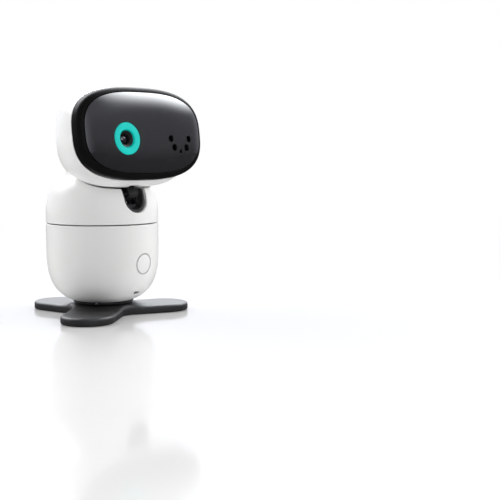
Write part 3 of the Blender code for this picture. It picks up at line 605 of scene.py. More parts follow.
@dataclass(frozen=True)
class Frames:
    """Where the turret and the head stand at rest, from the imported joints."""

    turret: Matrix
    head: Matrix
    tilt_forward: float
    tilt_height: float

    @staticmethod
    def read(joints: Sequence[dict]) -> "Frames":
        """Works the frames out from the tilt joint's place and axis.

        Args:
            joints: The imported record's joints.

        Returns:
            The two frames, in millimetres.
        """
        tilt = next(joint for joint in joints if joint["name"] == "tilt")
        across, place = tilt["axis"], tilt["pos_m"]
        turret = Matrix.Rotation(math.atan2(across[1], across[0]), 4, "Z")
        shift = Matrix.Translation([part / MM for part in place])
        head = shift @ turret @ Matrix.Rotation(math.radians(-HEAD.up_deg), 4, "X")
        return Frames(turret, head, math.hypot(place[0], place[1]) / MM, place[2] / MM)


def dress(
    obj: bpy.types.Object, finish: Finish, body: str, replaced: Sequence[str] = (), name: str | None = None
) -> bpy.types.Object:
    """Gives a piece its material, its body and the CAD nodes that it stands for.

    Args:
        obj: The piece.
        finish: Its finish.
        body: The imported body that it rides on.
        replaced: CAD nodes that it stands for.
        name: The material's name, where one slot has two looks.

    Returns:
        The same piece.
    """
    obj.data.materials.clear()
    obj.data.materials.append(finish.material(name))
    if replaced:
        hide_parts(*replaced)
    if body:
        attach(obj, body)
    LOG.info("%s: %d faces on %s", obj.name, len(obj.data.polygons), body or "two bodies")
    return obj


# ---------------------------------------------------------------- sub-assemblies


@dataclass
class Mount:
    """The bendable mount: a hub with three legs of one piece of rubber."""

    half_width: float = 15.0
    reach: float = 51.86
    thick: float = 4.6
    hub_top: float = 6.45
    hub_flat: float = 15.9
    fillet: float = 12.0
    top_round: float = 1.7
    bottom_round: float = 0.9
    leg_root: float = 14.0
    pocket_radius: float = 13.75
    pocket_floor: float = 2.4
    bend_from: float = 15.2
    bend_to: float = 23.0
    sink: float = 0.05
    directions: tuple[tuple[str, float], ...] = (
        ("front_right", -30.0), ("rear", 90.0), ("front_left", 210.0))

    def rise(self, x: np.ndarray, y: np.ndarray) -> np.ndarray:
        """How far the top stands above the legs: a smooth step up towards the hub's middle."""
        share = np.clip((27.0 - np.hypot(x, y)) / 13.0, 0.0, 1.0)
        return (self.hub_top - self.thick) * share * share * (3.0 - 2.0 * share)

    def edge_profile(self) -> tuple[np.ndarray, np.ndarray]:
        """The slab's edge from top to bottom: how far each row is drawn in, and its height."""
        top = arc((self.top_round, self.thick - self.top_round), self.top_round, 90, 180, 10)
        low = arc((self.bottom_round, self.bottom_round), self.bottom_round, 180, 270, 6)
        edge = joined(top, low)
        return edge[:, 0], edge[:, 1]

    def leg_points(self) -> np.ndarray:
        """A leg along +X: rows run from the spine over the edge to the underside, columns run out
        along one side, round the tip and back. A point is its spine point plus its row's distance
        along the outward normal."""
        tip = self.reach - self.half_width
        along = np.linspace(self.leg_root, tip, 60)
        round_tip = np.radians(np.linspace(90, -90, 49))[1:-1]
        spine = np.concatenate([along, np.full(len(round_tip), tip), along[::-1]])
        turn = np.concatenate([np.full(60, math.pi / 2), round_tip, np.full(60, -math.pi / 2)])
        drawn_in, height = self.edge_profile()
        flat = np.linspace(0.0, self.half_width - self.top_round, 10)[:-1]
        out = np.concatenate([flat, self.half_width - drawn_in, flat[::-1]])[:, None]
        level = np.concatenate([np.full(9, self.thick), height, np.zeros(9)])[:, None]
        lifted = np.concatenate([np.ones(9), np.clip(height / self.thick, 0, 1) ** 3, np.zeros(9)])
        x = spine + out * np.cos(turn)
        y = out * np.sin(turn)
        z = level + lifted[:, None] * self.rise(x, y)
        return np.stack([x, y, z], -1)

    def hub_outline(self, count: int = 360) -> np.ndarray:
        """The hub's outline: a straight end under each leg and a hollow arc between two legs, which
        runs into their sides.

        Args:
            count: How many points it has.

        Returns:
            Array of count x 2.
        """
        turn = np.linspace(0.0, 2.0 * math.pi, count, endpoint=False)
        from_leg = (np.degrees(turn) + 30.0 + 60.0) % 120.0 - 60.0
        near = np.radians(np.abs(from_leg))
        straight = self.hub_flat / np.cos(near)
        side = self.half_width - self.sink
        corner = side / math.sin(math.radians(60.0))
        centre = corner + self.fillet / math.sin(math.radians(60.0))
        off = math.radians(60.0) - near
        inside = np.maximum(self.fillet**2 - (centre * np.sin(off)) ** 2, 0.0)
        hollow = centre * np.cos(off) - np.sqrt(inside)
        along_side = side / np.maximum(np.sin(near), 1e-6)
        tangent = self.fillet * math.tan(math.radians(30.0)) + corner * 0.5
        past_fillet = hollow * np.cos(near) > tangent
        edge = np.where(past_fillet | (centre * np.abs(np.sin(off)) > self.fillet), along_side, hollow)
        radius = np.minimum(edge, straight)
        return np.stack([radius * np.cos(turn), radius * np.sin(turn)], -1)

    def hub_points(self) -> np.ndarray:
        """The hub: rows run from the middle of the magnet's pocket up its wall, over the top and the
        edge to the middle below. The edge rows are the outline drawn in along its normals, and the
        rows of the top pass from the pocket's circle to the outline in equal steps."""
        outline = self.hub_outline()
        ahead = np.roll(outline, -1, 0) - np.roll(outline, 1, 0)
        inwards = np.stack([-ahead[:, 1], ahead[:, 0]], -1)
        inwards /= np.linalg.norm(inwards, axis=1, keepdims=True)
        drawn_in, height = self.edge_profile()
        edge = outline + inwards * drawn_in[:, None, None]
        circle = self.pocket_radius * outline / np.linalg.norm(outline, axis=1, keepdims=True)
        floor = circle * np.linspace(0.0, 1.0, 4)[:, None, None]
        step = np.linspace(0.0, 1.0, 7)[:-1, None, None]
        top = circle * (1.0 - step) + edge[0] * step
        below = edge[-1] * np.linspace(1.0, 0.0, 8)[1:, None, None]
        rows = np.concatenate([floor, top, edge, below])
        x, y = rows[..., 0], rows[..., 1]
        level = np.concatenate([np.full(4, self.pocket_floor), np.full(6, self.thick), height, np.zeros(7)])
        fading = np.clip(height / self.thick, 0, 1) ** 3
        share = np.concatenate([np.zeros(4), np.ones(6), fading, np.zeros(7)])
        sunk = np.where(level > self.thick / 2, -self.sink, self.sink)
        z = (level + sunk)[:, None] + share[:, None] * self.rise(x, y)
        return np.stack([x, y, z], -1)

    def build(self) -> None:
        """Makes the hub and the three legs, which bend out of it."""
        hub = mesh_from_grid("mount_hub_rubber", self.hub_points())
        dress(hub, RUBBER, "mount", ["mount_hub"])
        for side, degrees in self.directions:
            leg = mesh_from_grid(f"leg_{side}_rubber", self.leg_points(), loop_columns=False)
            close_ends(leg)
            settle(leg, Matrix.Rotation(math.radians(degrees), 4, "Z"))
            dress(leg, RUBBER, "", [f"leg_{side}"])
            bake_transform(leg)


def close_ends(obj: bpy.types.Object) -> None:
    """Fills the open loops that a grid leaves at its ends, and turns the faces outwards."""
    work = bmesh.new()
    work.from_mesh(obj.data)
    open_edges = [edge for edge in work.edges if edge.is_boundary]
    bmesh.ops.holes_fill(work, edges=open_edges)
    work.to_mesh(obj.data)
    work.free()
    tidy_mesh(obj.data)


@dataclass
class Base:
    """The standing lower shell, its ring mark and its rear controls."""

    mark_height: float = 31.0
    mark_radius: float = 5.75
    mark_band: float = 0.42
    mark_depth: float = 0.5
    steps: int = 288

    def shell_profile(self) -> np.ndarray:
        """(radius, height) from the seam's lip down the outside and up the inside."""
        seam = BODY.seam_z - BODY.seam_half
        low = self.opening_height()
        turn = BODY.bottom + BODY.bottom_curve
        lip = arc((BODY.radius - 0.45, seam - 0.45), 0.45, 90, 0, 7)
        straight = np.stack([np.full(6, BODY.radius), np.linspace(seam - 1.2, turn + 0.5, 6)], -1)
        swing = np.radians(np.linspace(0, 90, 76))
        z = turn - (turn - low) * (1.0 - np.cos(swing))
        outside = np.stack([BODY.lower_radius(z), z], -1)
        inside_z = z[::-6]
        up = (inside_z - low) / (turn - low)
        inside = np.stack([BODY.lower_radius(inside_z) - BODY.wall, inside_z + BODY.wall * (1 - up)], -1)
        inside[0] = (BODY.opening, low + BODY.wall)
        top = [(BODY.radius - BODY.wall, seam - 0.2), (BODY.radius - BODY.wall + 0.2, seam)]
        return joined(lip, straight, outside, inside, top)

    def opening_height(self) -> float:
        """Height at which the shell's outside reaches its round opening below."""
        share = (BODY.opening / BODY.radius) ** BODY.bottom_power
        depth = (1.0 - share) ** (1.0 / BODY.bottom_power)
        return BODY.bottom + BODY.bottom_curve * (1.0 - depth)

    def mark_tube(self, name: str, half_band: float, proud: float, sunk: float) -> bpy.types.Object:
        """A round band that follows the shell's front: its section is a rounded rectangle across the
        ring's radius and the shell's depth, carried round a circle drawn on the shell."""
        section = superellipse(half_band, (proud + sunk) / 2, 5.0, 20)
        turn = np.linspace(0.0, 2.0 * math.pi, 120, endpoint=False)[:, None]
        ring = self.mark_radius + section[:, 0]
        x = ring * np.cos(turn)
        z = self.mark_height + ring * np.sin(turn)
        skin = BODY.lower_radius(z) + (proud - sunk) / 2 + section[:, 1]
        y = -np.sqrt(skin**2 - x**2)
        return mesh_from_grid(name, np.stack([x, y, z], -1), loop_rows=True)

    def cutters(self) -> list[bpy.types.Object]:
        """Everything that is cut out of the shell's wall."""
        mic = prism("mic_slot", stadium(1.35, 0.8, 9) + (0.0, 14.1), -34.0, -18.5, "Y")
        mark = self.mark_tube("mark_groove", self.mark_band, 0.6, self.mark_depth)
        inlet = prism("inlet_slot", superellipse(5.3, 3.3, 7.0, 48) + (0.0, 24.3), 20.0, 36.0, "Y")
        button = prism("button_hole", arc((0, 35.5), 3.3, 0, 354, 60), 20.0, 36.0, "Y")
        switch = prism("switch_slot", superellipse(4.6, 1.8, 7.0, 48) + (0.0, 45.0), 20.0, 36.0, "Y")
        found = [mic, mark, inlet, button, switch]
        for angle in (144, 152, 160, 200, 208, 216):
            slit = prism(f"slit_{angle}", stadium(7.3, 0.7, 9, upright=True) + (0.0, 30.0), 20.0, 36.0, "Y")
            found.append(settle(slit, Matrix.Rotation(math.radians(angle - 180), 4, "Z")))
        return found

    def build(self) -> None:
        """Makes the shell, the ring mark and the controls."""
        shell = mesh_from_grid("lower_shell_skin", revolve(self.shell_profile(), self.steps), loop_rows=True)
        carve(shell, self.cutters())
        dress(shell, SHELL_WHITE, "base", ["lower_shell"])
        mark = self.mark_tube("front_ring_inlay", 0.24, -0.12, self.mark_depth - 0.06)
        dress(mark, GREY, "base", ["front_ring"])
        self._controls()
        plate = joined([(0.0, 9.0), (17.5, 9.0)], arc((16.3, 7.95), 1.2, 10, -80, 8), [(0.0, 6.75)])
        foot = mesh_from_grid("bottom_cover", revolve(plate, 120))
        for angle in (90, 210, 330):
            x, y = 15.3 * math.cos(math.radians(angle)), 15.3 * math.sin(math.radians(angle))
            carve(foot, [prism("sink", arc((x, y), 2.3, 0, 345, 24), 6.0, 8.6),
                         prism("hole", arc((x, y), 1.3, 0, 345, 24), 5.5, 10.0)])
        dress(foot, SATIN_BLACK, "base", ["bottom_plate"])

    def _controls(self) -> None:
        """The pairing button and the power switch at the back."""
        cap = joined([(0.0, 32.82)], arc((2.2, 32.1), 0.8, 80, 0, 8), [(3.0, 29.3), (4.2, 29.3), (4.2, 28.3),
                     (0.0, 28.3)])
        rows = revolve(cap, 72)[..., [0, 2, 1]] + (0.0, 0.0, 35.5)
        dress(mesh_from_grid("pair_button_cap", rows), GREY, "pair_button", ["pair_button"])
        knob = superellipse(2.0, 1.5, 6.0, 40)
        levels = joined([(0.98, 28.2), (1.0, 28.6), (1.0, 32.3), (0.96, 32.8), (0.86, 33.0)])
        rows = np.array([np.insert(knob * share + (-2.2, 45.0), 1, y, axis=1) for share, y in levels])
        slider = mesh_from_grid("power_switch_knob", rows, caps=True)
        ribs = [prism("rib_gap", superellipse(0.22, 1.1, 4.0, 16) + (x, 45.0), 32.6, 34.0, "Y")
                for x in (-3.2, -2.2, -1.2)]
        carve(slider, ribs)
        flange = prism("switch_flange", superellipse(3.2, 2.4, 8.0, 40) + (-2.2, 45.0), 28.0, 29.0, "Y")
        carve(slider, [flange], "UNION")
        dress(slider, GREY, "power_switch", ["power_switch"])


@dataclass
class Turret:
    """The turning upper shell with its saddle, its notch and the black channel behind it."""

    frames: Frames
    slot_half: float = 7.9
    slot_bottom: float = 60.2
    slot_flare: float = 0.12
    liner_wall: float = 1.2
    liner_back: float = 23.0
    liner_sunk: float = 1.75
    notch_lip: tuple[tuple[float, float], ...] = (
        (-14.0, 0.0), (-0.9, 0.0), (-0.55, 0.05), (-0.28, 0.2), (-0.1, 0.42), (0.05, 0.8), (3.0, 1.1))
    steps: int = 320

    def saddle_height(self, x: np.ndarray, y: np.ndarray) -> np.ndarray:
        """Height of the space that the head sweeps. For slices along the tilt axis the head's
        farthest reach over all its tilts gives a curve in y and z, and a point's height is read
        between the slices.

        Args:
            x: The points' places along the tilt axis.
            y: The points' places from front to back, in the turret's frame.

        Returns:
            One height for each point.
        """
        slices = np.linspace(-36.0, 36.0, 49)
        around = np.linspace(-178.0, -2.0, 221)
        grid_y = np.linspace(-50.0, 32.0, 329)
        table = np.empty((len(slices), len(grid_y)))
        tilts = np.linspace(-HEAD.up_limit, HEAD.down_limit, 22)
        for row, across in enumerate(slices):
            reach = np.max([HEAD.reach(across, around - HEAD.up_deg + tilt) for tilt in tilts], axis=0)
            reach = np.convolve(np.pad(reach, 3, "edge"), np.ones(7) / 7, "valid") + HEAD.clearance
            turn = np.radians(around)
            back = -(self.frames.tilt_forward + reach * np.cos(turn))
            level = self.frames.tilt_height + reach * np.sin(turn)
            order = np.argsort(back)
            table[row] = np.interp(grid_y, back[order], level[order], left=130.0, right=130.0)
        u = np.clip((x - slices[0]) / (slices[1] - slices[0]), 0, len(slices) - 1.001)
        v = np.clip((y - grid_y[0]) / (grid_y[1] - grid_y[0]), 0, len(grid_y) - 1.001)
        i, j = u.astype(int), v.astype(int)
        s, t = u - i, v - j
        near = table[i, j] * (1 - t) + table[i, j + 1] * t
        far = table[i + 1, j] * (1 - t) + table[i + 1, j + 1] * t
        return near * (1 - s) + far * s

    def outside_profile(self) -> np.ndarray:
        """(radius, height) from the middle of the top over the neck and the shoulder to the seam."""
        seam = BODY.seam_z + BODY.seam_half
        inner_round = BODY.neck_radius - BODY.neck_round
        top = np.stack([np.linspace(0.0, inner_round - 0.4, 44), np.full(44, BODY.neck_top)], -1)
        crown = arc((inner_round, BODY.neck_top - BODY.neck_round), BODY.neck_round, 88, 0, 9)
        foot = arc((BODY.neck_radius + 0.6, BODY.top + 0.6), 0.6, 180, 262, 6)
        z = BODY.shoulder_start + (BODY.top - BODY.shoulder_start) * np.sin(
            np.radians(np.linspace(90, 0, 70))) ** 0.9
        shoulder = np.stack([BODY.upper_radius(z), z], -1)
        lip = arc((BODY.radius - 0.45, seam + 0.45), 0.45, 0, -90, 7)
        return joined(top, crown, foot, shoulder, lip)

    def shell_points(self) -> np.ndarray:
        """The whole shell: the outside, lowered to the saddle wherever the head needs the room, and
        the inside a wall's thickness within it."""
        outside = revolve(self.outside_profile(), self.steps)
        x, y, z = np.moveaxis(outside, -1, 0)
        outside[..., 2] = soft_least(z, self.saddle_height(x, y), 0.8)
        seam = BODY.seam_z + BODY.seam_half
        z = np.array([seam, 58.0, 64.0, 68.0, 71.0, 73.0])
        skin = np.stack([BODY.upper_radius(z) - BODY.wall, z], -1)
        roof = np.stack([np.linspace(skin[-1, 0] - 1.5, 0.0, 14), np.full(14, 77.0)], -1)
        inside = revolve(joined(skin, roof), self.steps)
        x, y, z = np.moveaxis(inside, -1, 0)
        inside[..., 2] = soft_least(z, self.saddle_height(x, y) - BODY.wall, 0.8)
        return np.concatenate([outside, inside])

    def notch_outline(self, half: float, top: float, count: int = 33) -> np.ndarray:
        """The notch's outline: a half circle below, and sides that lean apart up to a height."""
        middle = self.slot_bottom + self.slot_half
        wide = half + self.slot_flare * (top - middle)
        return joined([(wide, top)], [(-wide, top)], arc((0.0, middle), half, 180, 360, count))

    def notch_cutter(self) -> bpy.types.Object:
        """The notch's cutter: the outline set on surfaces parallel to the shell's outside, and wider
        near it, so that the cut's edge comes out rounded."""
        rows = []
        for offset, wider in self.notch_lip:
            outline = self.notch_outline(self.slot_half + wider, 84.0)
            skin = BODY.upper_radius(np.minimum(outline[:, 1], 76.0)) + offset
            y = -np.sqrt(np.maximum(skin**2 - outline[:, 0] ** 2, 1.0))
            rows.append(np.stack([outline[:, 0], y, outline[:, 1]], -1))
        return mesh_from_grid("notch", np.array(rows), caps=True)

    def build(self) -> None:
        """Makes the shell and the channel."""
        shell = mesh_from_grid("upper_shell_skin", self.shell_points())
        gate = prism("gate", np.array([(-7.4, -16.0), (7.4, -16.0), (7.4, 10.6), (-7.4, 10.6)]), 62.0, 90.0)
        carve(shell, [self.notch_cutter(), gate])
        dress(settle(shell, self.frames.turret), SHELL_WHITE, "turret", ["upper_shell"])
        self._channel()

    def _channel(self) -> None:
        """The black channel that lines the notch: side walls that follow the notch, and a back with a
        slit for the arm."""
        outer = self.slot_half - 0.3
        inner = outer - self.liner_wall
        solid = prism("slot_channel", self.notch_outline(outer, 80.0), -36.0, -self.liner_back, "Y")
        back = -self.liner_back - self.liner_wall
        hollow = prism("hollow", self.notch_outline(inner, 90.0), -40.0, back, "Y")
        opening = np.array([(-5.4, 64.6), (5.4, 64.6), (5.4, 90.0), (-5.4, 90.0)])
        slit = prism("slit", opening, -30.0, -18.0, "Y")
        profile = self.outside_profile()
        skin = profile[BODY.neck_radius + 1.5 < profile[:, 0]] - (self.liner_sunk, 0.0)
        block = joined([(0.0, skin[0, 1])], skin, [(0.0, skin[-1, 1])])
        points = revolve(block, self.steps)
        x, y, z = np.moveaxis(points, -1, 0)
        points[..., 2] = np.minimum(z, self.saddle_height(x, y) - 0.1)
        inside = mesh_from_grid("inside", points)
        carve(solid, [hollow, slit])
        carve(solid, [inside], "INTERSECT")
        dress(settle(solid, self.frames.turret), LINER_BLACK, "turret", ["slot_liner"], "liner_black")


@dataclass
class Head:
    """The tilting head: rear shell, bezel, face panel, lens and lamps."""

    frames: Frames
    lens_x: float = -14.6
    lens_z: float = -3.6
    ring_outer: float = 8.8
    ring_inner: float = 4.95
    lamp_x: float = 24.1
    lamp_spots: tuple[tuple[float, float], ...] = ((-7.0, -3.3), (-4.75, -8.27), (4.75, -8.27), (7.0, -3.3))
    lamp_radius: float = 1.9
    sensor: tuple[float, float] = (24.1, -10.4)
    panel_inset: float = 3.35
    panel_proud: float = -0.08
    panel_crown: float = 2.5
    panel_power: float = 4.5
    steps: int = 288

    def shell_rows(self, distances: np.ndarray, inset: float) -> np.ndarray:
        """Rings of the rear shell at distances behind its rim. A ring is a superellipse whose size
        falls as the shell's own superellipse closes, and which is drawn in near the rim."""
        length = HEAD.shell_length - inset
        share = (1.0 - np.clip(distances / length, 0, 1) ** HEAD.shell_power) ** (1.0 / HEAD.shell_power)
        lip = np.exp(-((distances / HEAD.lip_reach) ** 2))
        unit = superellipse(1.0, 1.0, HEAD.power, self.steps)
        wide = ((HEAD.shell_half_width - inset) * share)[:, None] * unit[:, 0]
        tall = ((HEAD.shell_half_height - inset) * share - HEAD.lip_depth * lip * (share > 0))[:, None]
        z = tall * unit[:, 1] - (HEAD.shell_drop * (1.0 - lip))[:, None]
        y = np.broadcast_to((distances - HEAD.shell_front)[:, None], z.shape)
        return np.stack([wide, y, z], -1)

    def build_shell(self) -> None:
        """The rear shell with its slot for the arm."""
        swing = np.radians(np.linspace(90, 2.0, 96))
        outer = self.shell_rows(HEAD.shell_length * np.sin(swing) ** 1.25, 0.0)
        rim = self.shell_rows(np.array([0.22, 0.07, 0.0]), 0.0)
        rim[1:, :, [0, 2]] *= np.array([0.9982, 0.995])[:, None, None]
        wall = HEAD.shell_wall
        depths = np.concatenate([np.zeros(1), np.linspace(1.0, HEAD.shell_length - wall, 24)])
        inner = self.shell_rows(depths, wall)
        shell = mesh_from_grid("head_shell_skin", np.concatenate([outer, rim, inner]))
        opening = np.array([(-3.4, -12.4), (3.4, -12.4), (3.4, 19.8), (-3.4, 19.8)])
        slot = prism("arm_slot", opening, -40.0, -12.0)
        carve(shell, [slot])
        dress(settle(shell, self.frames.head), SHELL_WHITE, "head", ["head_shell"])

    def face_rows(self, section: np.ndarray) -> np.ndarray:
        """Rings along the face's outline, each drawn in by a row's offset at a row's depth."""
        rings = [superellipse(HEAD.face_half_width - offset, HEAD.face_half_height - offset, HEAD.power,
                              self.steps) for offset, _ in section]
        flat = np.array(rings)
        y = np.broadcast_to(section[:, 1][:, None], flat.shape[:2])
        return np.stack([flat[..., 0], y, flat[..., 1]], -1)

    def build_bezel(self) -> None:
        """The black rim: a short straight side, a rounded shoulder and a lip that holds the panel."""
        front, back, bend = HEAD.face_front, HEAD.bezel_back, HEAD.bezel_round
        foot = arc((0.35, -back - 0.35), 0.35, 90, 180, 5)
        shoulder = arc((bend, -(front - bend)), bend, 180, 251, 24)
        lip = joined([(2.95, -24.62), (3.05, -24.45), (3.05, -22.7), (5.2, -22.7), (5.2, -21.3), (1.9, -21.3),
                      (1.9, -back)])
        section = joined(foot, shoulder, lip)
        bezel = mesh_from_grid("bezel_rim", self.face_rows(section), loop_rows=True)
        dress(settle(bezel, self.frames.head), BEZEL_BLACK, "head", ["bezel"], "bezel_black")

    def panel_depth(self, x: np.ndarray, z: np.ndarray) -> np.ndarray:
        """Depth of the panel's front: a crown that falls slowly at first and fast near the rim."""
        wide = HEAD.face_half_width - self.panel_inset
        tall = HEAD.face_half_height - self.panel_inset
        share = (np.abs(x) / wide) ** HEAD.power + (np.abs(z) / tall) ** HEAD.power
        share = np.clip(share, 0.0, 1.0) ** (1.0 / HEAD.power)
        return -(HEAD.face_front + self.panel_proud + self.panel_crown * (1.0 - share**self.panel_power))

    def build_panel(self) -> None:
        """The glossy face with its holes."""
        shares = np.concatenate([np.linspace(0.0, 0.9, 30), 1.0 - 0.1 * np.cos(np.radians(
            np.linspace(0, 90, 30)[1:])) ** 1.6])
        rim = superellipse(HEAD.face_half_width - self.panel_inset, HEAD.face_half_height - self.panel_inset,
                           HEAD.power, self.steps)
        flat = rim[None] * shares[:, None, None]
        front = np.stack([flat[..., 0], self.panel_depth(flat[..., 0], flat[..., 1]), flat[..., 1]], -1)
        back = front[[-1, 0]].copy()
        back[..., 1] = -23.0
        panel = mesh_from_grid("face_panel_gloss", np.concatenate([front, back]))
        lens_rim = arc((self.lens_x, self.lens_z), self.ring_outer + 0.22, 0, 357, 120)
        holes = [prism("lens_hole", lens_rim, -30, -15, "Y")]
        for x, z in self.lamp_places():
            holes.append(prism("lamp_hole", arc((x, z), self.lamp_radius, 0, 350, 36), -30, -15, "Y"))
        holes.append(prism("sensor_hole", arc(self.sensor, 1.1, 0, 345, 24), -30, -15, "Y"))
        carve(panel, holes)
        dress(settle(panel, self.frames.head), PANEL_BLACK, "head", ["face_panel"], "panel_black")

    def lamp_places(self) -> list[tuple[float, float]]:
        """(x, z) of the four infrared lamps."""
        return [(self.lamp_x + x, z) for x, z in self.lamp_spots]

    def turned_piece(
        self, name: str, profile: Sequence, x: float, z: float, finish: Finish, node: str, steps: int = 96
    ) -> None:
        """A turned piece that looks along -Y: profile holds (radius, distance ahead) pairs."""
        rows = revolve(joined(profile), steps)
        rows = np.stack([rows[..., 0] + x, -rows[..., 2], rows[..., 1] + z], -1)
        piece = mesh_from_grid(name, rows, loop_rows=profile[0][0] > 0.0)
        dress(settle(piece, self.frames.head), finish, "head", [node])

    def build_lens(self) -> None:
        """The glowing ring, the stepped barrel and the lens."""
        front = -float(self.panel_depth(np.array([self.lens_x]), np.array([self.lens_z]))[0]) - 0.05
        outer, inner = self.ring_outer, self.ring_inner
        ring = joined(arc((outer - 0.35, front - 0.35), 0.35, 0, 80, 5), [(inner + 1.2, front - 0.1)],
                      arc((inner + 0.5, front - 0.62), 0.5, 95, 180, 6), [(inner, 21.4), (outer, 21.4)])
        self.turned_piece("light_ring_guide", ring, self.lens_x, self.lens_z, GLOW, "light_ring", 144)
        steps = [(4.45, front - 0.9), (4.2, front - 1.1), (4.1, front - 1.6), (3.8, front - 1.7),
                 (3.65, front - 2.2), (3.35, front - 2.3), (3.2, front - 2.9), (2.95, 23.0)]
        barrel = joined([(0.0, 23.0)], steps[::-1], [(4.45, 19.9), (0.0, 19.9)])
        self.turned_piece("lens_barrel_steps", barrel, self.lens_x, self.lens_z, SATIN_BLACK, "lens_barrel")
        dome = arc((0.0, 21.4), 3.2, 90, 31, 14)
        glass = joined(dome, [(2.74, 23.05), (0.0, 23.05)])
        self.turned_piece("lens_front_glass", glass, self.lens_x, self.lens_z, LENS, "lens_glass")
        for i, (x, z) in enumerate(self.lamp_places()):
            lamp = joined(arc((0.0, 23.6), 1.6, 90, 0, 10), [(1.6, 19.9), (0.0, 19.9)])
            self.turned_piece(f"lamp_{i + 1}_dome", lamp, x, z, SMOKED, f"ir_led_{i + 1}", 36)
        eye = joined(arc((0.0, 24.2), 0.8, 90, 0, 6), [(0.8, 19.9), (0.0, 19.9)])
        self.turned_piece("light_sensor_eye", eye, *self.sensor, SMOKED, "light_sensor", 24)

    def build(self) -> None:
        """Makes the head's pieces in order."""
        self.build_shell()
        self.build_bezel()
        self.build_panel()
        self.build_lens()


# ---------------------------------------------------------------- carried-over nodes and the studio


def dress_carried_nodes(nodes: dict[str, bpy.types.Object], record: dict) -> None:
    """Gives every CAD node that still shows its procedural finish.

    Args:
        nodes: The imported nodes.
        record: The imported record, whose subparts name each node's slot.
    """
    slots = {subpart["node"]: subpart["material_slot"] for subpart in record["subparts"]}
    for name, node in nodes.items():
        if node.hide_render:
            continue
        node.data.materials.clear()
        node.data.materials.append(SLOT_FINISHES[slots[name]].material())
        LOG.info("%s keeps its shape, in %s", name, slots[name])


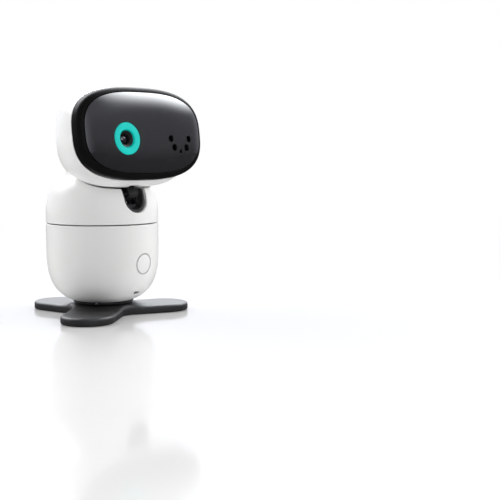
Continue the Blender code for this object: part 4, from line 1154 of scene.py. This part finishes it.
@dataclass
class Studio:
    """The camera, a pale glossy floor and soft light from the sides and above. The floor's half
    width, its drop below the feet and the distances over which it fades to white are in metres."""

    azimuth_deg: float = -54.4
    pitch_deg: float = 5.287
    place_mm: tuple[float, float, float] = (-436.8, -418.9, 92.57)
    lens_mm: float = 73.81
    floor_half: float = 6.0
    floor_drop: float = 0.0002
    fade: tuple[float, float] = (0.25, 0.7)

    def build(self) -> None:
        """Makes all of it."""
        self._camera()
        self._floor()
        self._world()
        scene = bpy.context.scene
        scene.view_settings.view_transform = "Standard"
        scene.view_settings.look = "None"

    def _camera(self) -> None:
        """A level camera, turned to its azimuth and pitched down a little."""
        data = bpy.data.cameras.new("camera")
        data.lens = self.lens_mm
        data.sensor_width = 36.0
        data.clip_start = 0.01
        camera = bpy.data.objects.new("camera", data)
        camera.location = [part * MM for part in self.place_mm]
        camera.rotation_euler = (math.radians(90.0 - self.pitch_deg), 0.0, math.radians(self.azimuth_deg))
        bpy.context.scene.collection.objects.link(camera)
        bpy.context.scene.camera = camera

    def _floor(self) -> None:
        """A wide white floor with a soft mirror gloss; where glossy parts reflect it, it is painted dark grey
        instead, a painted dark reflection.
        """
        mesh = bpy.data.meshes.new("floor")
        half = self.floor_half
        around = [(-half, -half, 0), (half, -half, 0), (half, half, 0), (-half, half, 0)]
        mesh.from_pydata(around, [], [(0, 1, 2, 3)])
        floor = bpy.data.objects.new("floor", mesh)
        floor.location.z = -self.floor_drop
        bpy.context.scene.collection.objects.link(floor)
        made = bpy.data.materials.new("floor_white")
        made.use_nodes = True
        graph = Graph(made.node_tree)
        vector, _, _, _ = graph.place()
        haze = graph.noise(vector, 9.0, 3.0)
        sockets = {"Base Color": (0.93, 0.93, 0.93), "Roughness": 0.07 + haze * 0.06, "IOR": 1.45,
                   "Emission Color": (1.0, 1.0, 1.0), "Emission Strength": 0.07}
        shader = graph.node("ShaderNodeBsdfPrincipled", sockets=sockets)
        # Painted dark reflection: glossy rays that reach the floor see this dark grey matt surface instead of
        # the white one, so glossy parts mirror a dark floor below them.
        dark = graph.node("ShaderNodeBsdfDiffuse", sockets={"Color": (0.09, 0.09, 0.09)})
        glossy = graph.node("ShaderNodeLightPath").outputs["Is Glossy Ray"]
        both = {0: glossy, 1: shader.outputs[0], 2: dark.outputs[0]}
        near = graph.node("ShaderNodeMixShader", sockets=both)
        _, x, y, _ = graph.place()
        distance = (x * x + y * y) ** 0.5
        white = graph.node("ShaderNodeEmission", sockets={"Color": (1.0, 1.0, 1.0), "Strength": 1.0})
        seen = Value(graph, graph.node("ShaderNodeLightPath").outputs["Is Camera Ray"])
        fade = {0: distance.ramp(*self.fade) * seen, 1: near.outputs[0], 2: white.outputs[0]}
        mixed = graph.node("ShaderNodeMixShader", sockets=fade)
        graph.node("ShaderNodeOutputMaterial", sockets={"Surface": mixed.outputs[0]})
        mesh.materials.append(made)

    def _world(self) -> None:
        """White to the eye. Matt surfaces see bright walls at the sides and a darker side where the
        camera stands; glossy ones see a dark room with a wide bank of light above and to the right."""
        world = bpy.data.worlds.new("studio")
        bpy.context.scene.world = world
        world.use_nodes = True
        graph = Graph(world.node_tree)
        direction = graph.node("ShaderNodeTexCoord").outputs["Generated"]
        turn = math.radians(self.azimuth_deg)
        right = self._along(graph, direction, (math.cos(turn), math.sin(turn), 0.0))
        ahead = self._along(graph, direction, (-math.sin(turn), math.cos(turn), 0.0))
        up = self._along(graph, direction, (0.0, 0.0, 1.0))
        sides = abs(right).ramp(0.40, 0.90) * 2.4
        behind = ahead.ramp(-0.2, 0.8) * 0.9
        roof = up.ramp(0.3, 0.95) * 0.2
        matt = 0.01 + sides + behind + roof
        bank = up.ramp(0.28, 0.66) * (1.0 - up.ramp(0.84, 0.97)) * ahead.ramp(-0.22, 0.42) * 9.5
        wall = (0.0 - right).ramp(0.55, 0.95) * 0.45
        back = ahead.ramp(0.3, 0.75) * 0.9
        window = (0.0 - ahead).ramp(0.42, 0.86) * right.ramp(0.0, 0.3) * 1.7
        gloss = 0.10 + up.ramp(-0.05, 0.45) * 0.3 + bank + wall + back + window
        tint = graph.mixed(bank.ramp(0.0, 2.0), (0.90, 0.92, 1.0), (0.94, 0.965, 1.0))
        path = graph.node("ShaderNodeLightPath").outputs
        light = graph.node("ShaderNodeBackground", sockets={"Color": (1.0, 1.0, 0.995), "Strength": matt})
        mirror = graph.node("ShaderNodeBackground", sockets={"Color": tint, "Strength": gloss})
        seen = graph.node("ShaderNodeBackground", sockets={"Color": (1.0, 1.0, 1.0), "Strength": 1.0})
        inner = {0: path["Is Glossy Ray"], 1: light.outputs[0], 2: mirror.outputs[0]}
        room = graph.node("ShaderNodeMixShader", sockets=inner)
        outer = {0: path["Is Camera Ray"], 1: room.outputs[0], 2: seen.outputs[0]}
        both = graph.node("ShaderNodeMixShader", sockets=outer)
        graph.node("ShaderNodeOutputWorld", sockets={"Surface": both.outputs[0]})

    def _along(self, graph: Graph, direction: object, axis: tuple[float, float, float]) -> Value:
        """How far a direction points along an axis, from -1 to 1."""
        node = graph.node("ShaderNodeVectorMath", {"operation": "DOT_PRODUCT"}, {0: direction, 1: axis})
        return Value(graph, node.outputs["Value"])


def main() -> None:
    """Builds the object's sub-assemblies and the studio round them."""
    logging.basicConfig(level=logging.INFO, format="%(name)s: %(message)s")
    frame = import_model()
    Studio().build()
    frames = Frames.read(frame["joints"])
    Mount().build()
    Base().build()
    Turret(frames).build()
    Head(frames).build()
    dress_carried_nodes(frame["nodes"], frame["record"])


if __name__ == "__main__":
    main()
